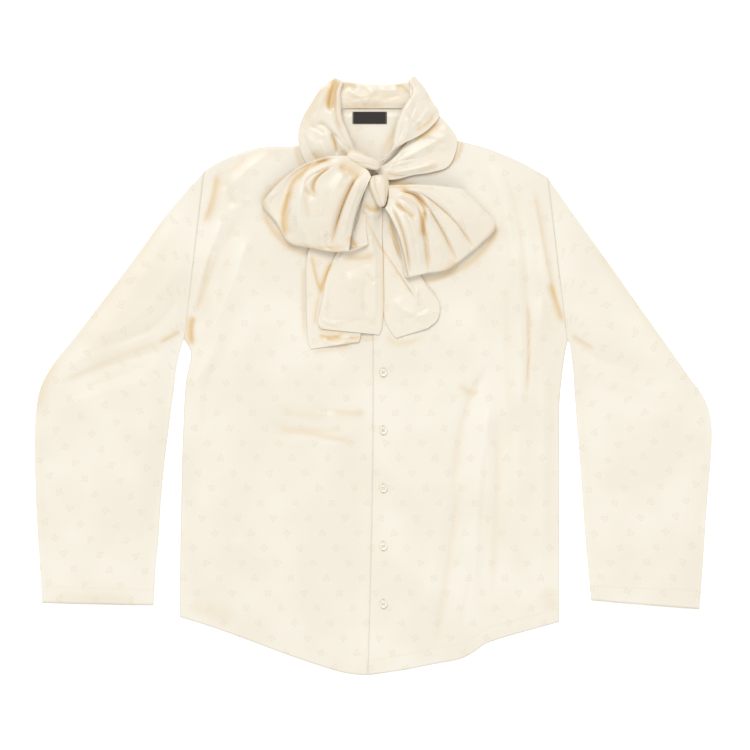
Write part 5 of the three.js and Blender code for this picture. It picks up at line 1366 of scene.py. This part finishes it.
def stitch_tree(material):
    """A node tree that lays small threads along the edges of a mesh."""
    if "Stitches" in bpy.data.node_groups:
        return bpy.data.node_groups["Stitches"]
    tree = bpy.data.node_groups.new("Stitches", "GeometryNodeTree")
    face = tree.interface
    face.new_socket("Geometry", in_out="INPUT", socket_type="NodeSocketGeometry")
    for name in ("Pitch", "Half Length", "Half Width", "Half Height"):
        face.new_socket(name, in_out="INPUT", socket_type="NodeSocketFloat")
    face.new_socket("Geometry", in_out="OUTPUT", socket_type="NodeSocketGeometry")
    given = add(tree, "NodeGroupInput").outputs
    curve = add(tree, "GeometryNodeMeshToCurve", {"Mesh": given["Geometry"]}).outputs[0]
    inputs = {"Curve": curve, "Length": given["Pitch"]}
    even = add(tree, "GeometryNodeResampleCurve", inputs, mode="LENGTH").outputs[0]
    tangent = add(tree, "GeometryNodeInputTangent").outputs[0]
    along = add(tree, "FunctionNodeAlignRotationToVector", {"Vector": tangent}, axis="Z").outputs[0]
    inputs = {"Rotation": along, "Vector": (0.0, 0.0, 1.0)}
    level = add(tree, "FunctionNodeAlignRotationToVector", inputs, axis="X", pivot_axis="Z")
    thread = add(tree, "GeometryNodeMeshUVSphere", {"Segments": 8, "Rings": 6, "Radius": 1.0}).outputs[0]
    inputs = {"X": given["Half Height"], "Y": given["Half Width"], "Z": given["Half Length"]}
    size = add(tree, "ShaderNodeCombineXYZ", inputs).outputs[0]
    many = add(tree, "GeometryNodeInstanceOnPoints", {
        "Points": even, "Instance": thread, "Rotation": level.outputs[0], "Scale": size,
    }).outputs[0]
    real = add(tree, "GeometryNodeRealizeInstances", {"Geometry": many}).outputs[0]
    soft = add(tree, "GeometryNodeSetShadeSmooth", {"Geometry": real}).outputs[0]
    done = add(tree, "GeometryNodeSetMaterial", {"Geometry": soft, "Material": material}).outputs[0]
    add(tree, "NodeGroupOutput", {"Geometry": done})
    return tree


def sew(name, lines, stitch):
    """Lays stitches along lines of points in millimetres, as one plain mesh."""
    material = plain_cloth("Thread", bpy.context.scene.blouse_colours.thread, 900.0, 0.6)
    vertices, edges = [], []
    for line in lines:
        start = len(vertices)
        vertices += (np.asarray(line, float) * MM).tolist()
        edges += [(start + k, start + k + 1) for k in range(len(line) - 1)]
    guide_mesh = bpy.data.meshes.new(name + "_guide")
    guide_mesh.from_pydata(vertices, edges, [])
    guide = bpy.data.objects.new(name + "_guide", guide_mesh)
    bpy.context.scene.collection.objects.link(guide)
    modifier = guide.modifiers.new("Stitches", "NODES")
    modifier.node_group = stitch_tree(material)
    values = dict(zip(("Pitch", "Half Length", "Half Width", "Half Height"), stitch))
    for socket in modifier.node_group.interface.items_tree:
        if socket.in_out == "INPUT" and socket.name in values:
            modifier[socket.identifier] = values[socket.name] * MM
    bpy.context.view_layer.update()
    evaluated = guide.evaluated_get(bpy.context.evaluated_depsgraph_get())
    mesh = bpy.data.meshes.new_from_object(evaluated)
    mesh.name = name
    bpy.data.objects.remove(guide)
    return place(name, mesh, material, [])


def on_top(line, height):
    """A line of points, raised by a height."""
    return np.asarray(line, float) + np.array([0, 0, height])


# Properties.
class BlouseSizes(bpy.types.PropertyGroup):
    """Sizes of the satin and its stitching"""
    motif_pitch: FloatProperty(
        name="Motif pitch", description="From one woven motif to the next in a row",
        default=0.05, unit="LENGTH"
    )
    satin_roughness: FloatProperty(
        name="Satin roughness", description="How soft the satin's gloss is",
        default=0.36, min=0, max=1
    )
    crumple: FloatProperty(
        name="Crumple", description="Depth of the cloth's fine unevenness",
        default=0.0011, unit="LENGTH"
    )
    hem_depth: FloatProperty(
        name="Hem depth", description="From the hem's edge to its stitches",
        default=0.02, unit="LENGTH"
    )
    stitch_pitch: FloatProperty(
        name="Stitch pitch", description="From one stitch to the next",
        default=0.0032, unit="LENGTH"
    )


class BlouseColours(bpy.types.PropertyGroup):
    """Colours of the blouse and the floor, as sRGB hex digits"""
    silk: StringProperty(name="Silk", description="Colour of the satin", default="#ECE5D5")
    silk_light: StringProperty(name="Silk, light", description="Lighter patches", default="#F1EBDD")
    # The crease colour is painted shade: the darker, warmer colour that the satin goes over to in its hollows
    # and along the lines of painted shade.
    painted_crease_shade: StringProperty(name="Crease", description="Colour deep in the folds", default="#DEBD87")
    motif: StringProperty(name="Motif", description="Colour of the woven motif", default="#DDCFB2")
    button: StringProperty(name="Button", description="Colour of the buttons", default="#EFE8D6")
    button_light: StringProperty(name="Button, light", description="Clouds in the buttons", default="#FAF5EA")
    label: StringProperty(name="Label", description="Colour of the neck label", default="#27211D")
    thread: StringProperty(name="Thread", description="Colour of the sewing thread", default="#E3D3AE")
    floor: StringProperty(name="Floor", description="Colour of the floor", default="#FFFFFF")


class BLOUSE_OT_panels(bpy.types.Operator):
    """Makes the back and the two fronts"""

    bl_idname = "blouse.panels"
    bl_label = "Back and fronts"

    def execute(self, context):
        place_panel("Back_panel", back, 60, 60, "back", BACK_PAINTED_SHADE)
        place_panel("Front_right_panel", front_right, 250, 120, "front_right", FRONT_PAINTED_SHADE)
        place_panel("Front_left_panel", front_left, 250, 120, "front_left", FRONT_PAINTED_SHADE)
        return {"FINISHED"}


class BLOUSE_OT_sleeves(bpy.types.Operator):
    """Makes the two sleeves"""

    bl_idname = "blouse.sleeves"
    bl_label = "Sleeves"

    def execute(self, context):
        place_sleeve("Sleeve_right_tube", RIGHT_SLEEVE, False, "sleeve_right")
        place_sleeve("Sleeve_left_tube", LEFT_SLEEVE, True, "sleeve_left")
        return {"FINISHED"}


class BLOUSE_OT_collar(bpy.types.Operator):
    """Makes the folded collar"""

    bl_idname = "blouse.collar"
    bl_label = "Collar"

    def execute(self, context):
        right = collar_side(COLLAR_RIGHT_SIDE, COLLAR_FOLDS + COLLAR_SMALL_FOLDS, False)
        left = collar_side(COLLAR_LEFT_SIDE, FLAP_FOLDS + FLAP_SMALL_FOLDS, True)
        wrap = tie_stretch(WRAP_LEFT_SIDE, WRAP_FOLDS + WRAP_SMALL_FOLDS)
        for row in (
            ("Collar_back", collar_band(), "collar_band", "folded", "back", BAND_PAINTED_SHADE, (20, 10)),
            ("Collar_right_fold", right, "collar_right", "folded", "front_right", COLLAR_PAINTED_SHADE, (0, 200)),
            ("Collar_left_fold", left, "collar_left", "folded", "front_left", FLAP_PAINTED_SHADE, (10, 400)),
            ("Tie_wrap", wrap, "tie_wrap_left", "gathered", "front_left", WRAP_PAINTED_SHADE, (30, 620)),
        ):
            place_folded(*row)
        return {"FINISHED"}


class BLOUSE_OT_bow(bpy.types.Operator):
    """Makes the bow: its loops, hanging ends and knot"""

    bl_idname = "blouse.bow"
    bl_label = "Bow"

    def execute(self, context):
        right = bow_loop(RIGHT_LOOP, RIGHT_LOOP_FOLDS + RIGHT_LOOP_SMALL_FOLDS, RIGHT_MOUTH, False)
        left = bow_loop(LEFT_LOOP, LEFT_LOOP_FOLDS + LEFT_LOOP_SMALL_FOLDS, LEFT_MOUTH, True)
        left_end = tie_stretch(LEFT_TAIL, LEFT_TAIL_FOLDS + LEFT_TAIL_SMALL_FOLDS)
        right_end = tie_stretch(RIGHT_TAIL, RIGHT_TAIL_FOLDS + RIGHT_TAIL_SMALL_FOLDS)
        lower = tie_stretch(UNDER_TAIL, UNDER_TAIL_FOLDS)
        held, on_right, on_left = "gathered", "front_right", "front_left"
        for row in (
            ("Bow_loop_right_fold", right, "bow_loop_right", held, on_right, RIGHT_LOOP_PAINTED_SHADE, (0, 900)),
            ("Bow_loop_left_fold", left, "bow_loop_left", held, on_left, LEFT_LOOP_PAINTED_SHADE, (12, 1200)),
            ("Tail_left_end", left_end, "tail_left", held, on_left, TAIL_PAINTED_SHADE, (22, 1500)),
            ("Tail_right_end", right_end, "tail_right", held, on_right, TAIL_PAINTED_SHADE, (6, 1800)),
            ("Tail_right_lower", lower, "tail_right_under", "folded", on_right, TAIL_PAINTED_SHADE, (16, 2100)),
        ):
            place_folded(*row)
        place_wrap("Knot_crossing", CROSSING, CROSSING_PLEATS, CROSSING_TAPER, "tie_crossing")
        place_wrap("Knot_wrap", KNOT, KNOT_PLEATS, KNOT_TAPER, "bow_knot")
        return {"FINISHED"}


class BLOUSE_OT_buttons(bpy.types.Operator):
    """Makes the buttons with their threads and buttonholes"""

    bl_idname = "blouse.buttons"
    bl_label = "Buttons"

    def execute(self, context):
        seat = FRONT_FLOOR + LAP_STEP + LAP_LIFT + CLOTH + SEAM_GAP
        top = seat + BUTTON["height"] - BUTTON["rim_depth"] + 0.1
        offset = BUTTON["hole_offset"]
        threads, holes = [], []
        for i in range(BUTTON_ROW["count"]):
            x, y = BUTTON_ROW["x"], BUTTON_ROW["first_y"] - i * BUTTON_ROW["pitch"]
            name = f"button_{i + 1}"
            place(f"Button_{i + 1}_turned", button_mesh(name, (x, y), seat), pearl(), [name])
            for side in (-offset, offset):
                for k in (-0.25, 0.0, 0.25):
                    run = ((y - offset, top), (y, top + 0.25), (y + offset, top))
                    threads.append([(x + side + k, along, height) for along, height in run])
            for side in (-BUTTONHOLE["half_gap"], BUTTONHOLE["half_gap"]):
                ends = (y - BUTTONHOLE["half_length"], y + BUTTONHOLE["half_length"])
                holes.append([(x + side, end, seat - BUTTONHOLE["sink"]) for end in ends])
        sew("Button_threads", threads, BUTTON_STITCH)
        sew("Buttonhole_stitches", holes, BUTTONHOLE_STITCH)
        return {"FINISHED"}


class BLOUSE_OT_label(bpy.types.Operator):
    """Makes the bare woven neck label"""

    bl_idname = "blouse.label"
    bl_label = "Neck label"

    def execute(self, context):
        name, face = "Neck_label_tape", CLOTH + SEAM_GAP + LABEL["thickness"]
        u, v = np.linspace(-0.5, 0.5, 60), np.linspace(-0.5, 0.5, 24)
        x, y = np.meshgrid(LABEL["x"] + u * LABEL["width"], LABEL["y"] + v * LABEL["height"])
        bow = 0.12 * np.cos(np.pi * u)[None, :] + 0.05 * np.sin(9 * v)[:, None] * np.sin(5 * u)[None, :]
        upper = np.stack([x, y, face + bow], axis=2)
        mesh = sheet_mesh(name, upper, upper - np.array([0, 0, 0.5]), upper[..., :2], np.zeros_like(bow))
        tape = plain_cloth("Label tape", context.scene.blouse_colours.label, 700.0, 0.75)
        piece = place(name, mesh, tape, ["neck_label"])
        ends = []
        for side in (-1, 1):
            edge = LABEL["x"] + side * (LABEL["width"] / 2 - 1.2)
            reach = LABEL["height"] / 2 - 1
            ends.append([(edge, LABEL["y"] + k * reach, face + 0.05) for k in (-1, 0, 1)])
        sew("Label_stitches", ends, LABEL_STITCH)
        return {"FINISHED"}


class BLOUSE_OT_stitching(bpy.types.Operator):
    """Sews the hem and the cuffs"""

    bl_idname = "blouse.stitching"
    bl_label = "Hem stitches"

    def execute(self, context):
        sizes = context.scene.blouse_sizes
        share = np.array([sizes.hem_depth / MM / FRONT_RIGHT_SPAN[1]])
        u = np.linspace(0.004, 0.996, 220)
        right = front_right(u[u < 0.9], share)[0]
        left = front_left(u, share)[0]
        lines = [on_top(right[right[:, 0] < -9], STITCH_LIFT), on_top(left, STITCH_LIFT)]
        for rows in (RIGHT_SLEEVE, LEFT_SLEEVE):
            rings, _ = sleeve_rings(rows, np.array([0.9, CUFF_STITCH_SHARE]))
            top = rings[-1][rings[-1][:, 2] > 3]
            lines.append(on_top(top[np.argsort(top[:, 0])], STITCH_LIFT))
        sew("Hem_stitches", lines, (sizes.stitch_pitch / MM, *HEM_STITCH_HALVES))
        return {"FINISHED"}


class BLOUSE_OT_stage(bpy.types.Operator):
    """Makes the floor, the lights and the camera"""

    bl_idname = "blouse.stage"
    bl_label = "Stage"

    def execute(self, context):
        colours = context.scene.blouse_colours
        scene = context.scene
        mesh = bpy.data.meshes.new("Floor")
        reach, z = FLOOR["half_side"], -FLOOR["drop"]
        corners = [(-reach, -reach, z), (reach, -reach, z), (reach, reach, z), (-reach, reach, z)]
        mesh.from_pydata(corners, [], [(0, 1, 2, 3)])
        floor = bpy.data.objects.new("Floor", mesh)
        scene.collection.objects.link(floor)
        material, _, shader = new_material("Floor")
        shader.inputs["Base Color"].default_value = linear(colours.floor)
        shader.inputs["Roughness"].default_value = 0.9
        shader.inputs["Emission Color"].default_value = linear(colours.floor)
        shader.inputs["Emission Strength"].default_value = FLOOR["glow"]
        mesh.materials.append(material)
        world = bpy.data.worlds.new("Studio")
        world.use_nodes = True
        background = world.node_tree.nodes["Background"]
        background.inputs[0].default_value = (1.0, 1.0, 1.0, 1.0)
        background.inputs[1].default_value = WORLD_LIGHT
        scene.world = world
        for name, spot, softness, power in LIGHTS:
            lamp = bpy.data.lights.new(name, "SUN")
            lamp.angle, lamp.energy = softness, power
            holder = bpy.data.objects.new(name, lamp)
            holder.location = spot
            holder.rotation_euler = (-Vector(spot)).to_track_quat("-Z", "Y").to_euler()
            scene.collection.objects.link(holder)
        camera = bpy.data.cameras.new("Camera")
        camera.lens, camera.sensor_width = CAMERA["lens"], CAMERA["sensor"]
        distance = CAMERA["view_width"] * camera.lens / camera.sensor_width
        eye = bpy.data.objects.new("Camera", camera)
        eye.location = (CAMERA["x"], CAMERA["y"], distance + CAMERA["sharp_height"])
        scene.collection.objects.link(eye)
        scene.camera = eye
        scene.view_settings.view_transform = "Standard"
        return {"FINISHED"}


OPERATORS = (
    BLOUSE_OT_stage, BLOUSE_OT_panels, BLOUSE_OT_sleeves, BLOUSE_OT_collar, BLOUSE_OT_bow, BLOUSE_OT_buttons,
    BLOUSE_OT_label, BLOUSE_OT_stitching,
)


class BLOUSE_PT_sidebar(bpy.types.Panel):
    """Lists the sizes, the colours and the pieces of the blouse"""

    bl_idname = "BLOUSE_PT_sidebar"
    bl_label = "Blouse"
    bl_space_type = "VIEW_3D"
    bl_region_type = "UI"
    bl_category = "Blouse"

    def draw(self, context):
        for group in (context.scene.blouse_sizes, context.scene.blouse_colours):
            for name in group.__annotations__:
                self.layout.prop(group, name)
        for operator in OPERATORS:
            self.layout.operator(operator.bl_idname)


CLASSES = (BlouseSizes, BlouseColours, *OPERATORS, BLOUSE_PT_sidebar)


def register():
    """Adds the classes, and the scene's sizes and colours."""
    for item in CLASSES:
        bpy.utils.register_class(item)
    bpy.types.Scene.blouse_sizes = PointerProperty(type=BlouseSizes)
    bpy.types.Scene.blouse_colours = PointerProperty(type=BlouseColours)


def unregister():
    """Takes away what register added."""
    del bpy.types.Scene.blouse_colours
    del bpy.types.Scene.blouse_sizes
    for item in reversed(CLASSES):
        bpy.utils.unregister_class(item)


def main():
    """Makes the blouse and its stage."""
    register()
    for operator in OPERATORS:
        family, name = operator.bl_idname.split(".")
        getattr(getattr(bpy.ops, family), name)()
    bpy.context.view_layer.update()


if __name__ == "__main__":
    main()
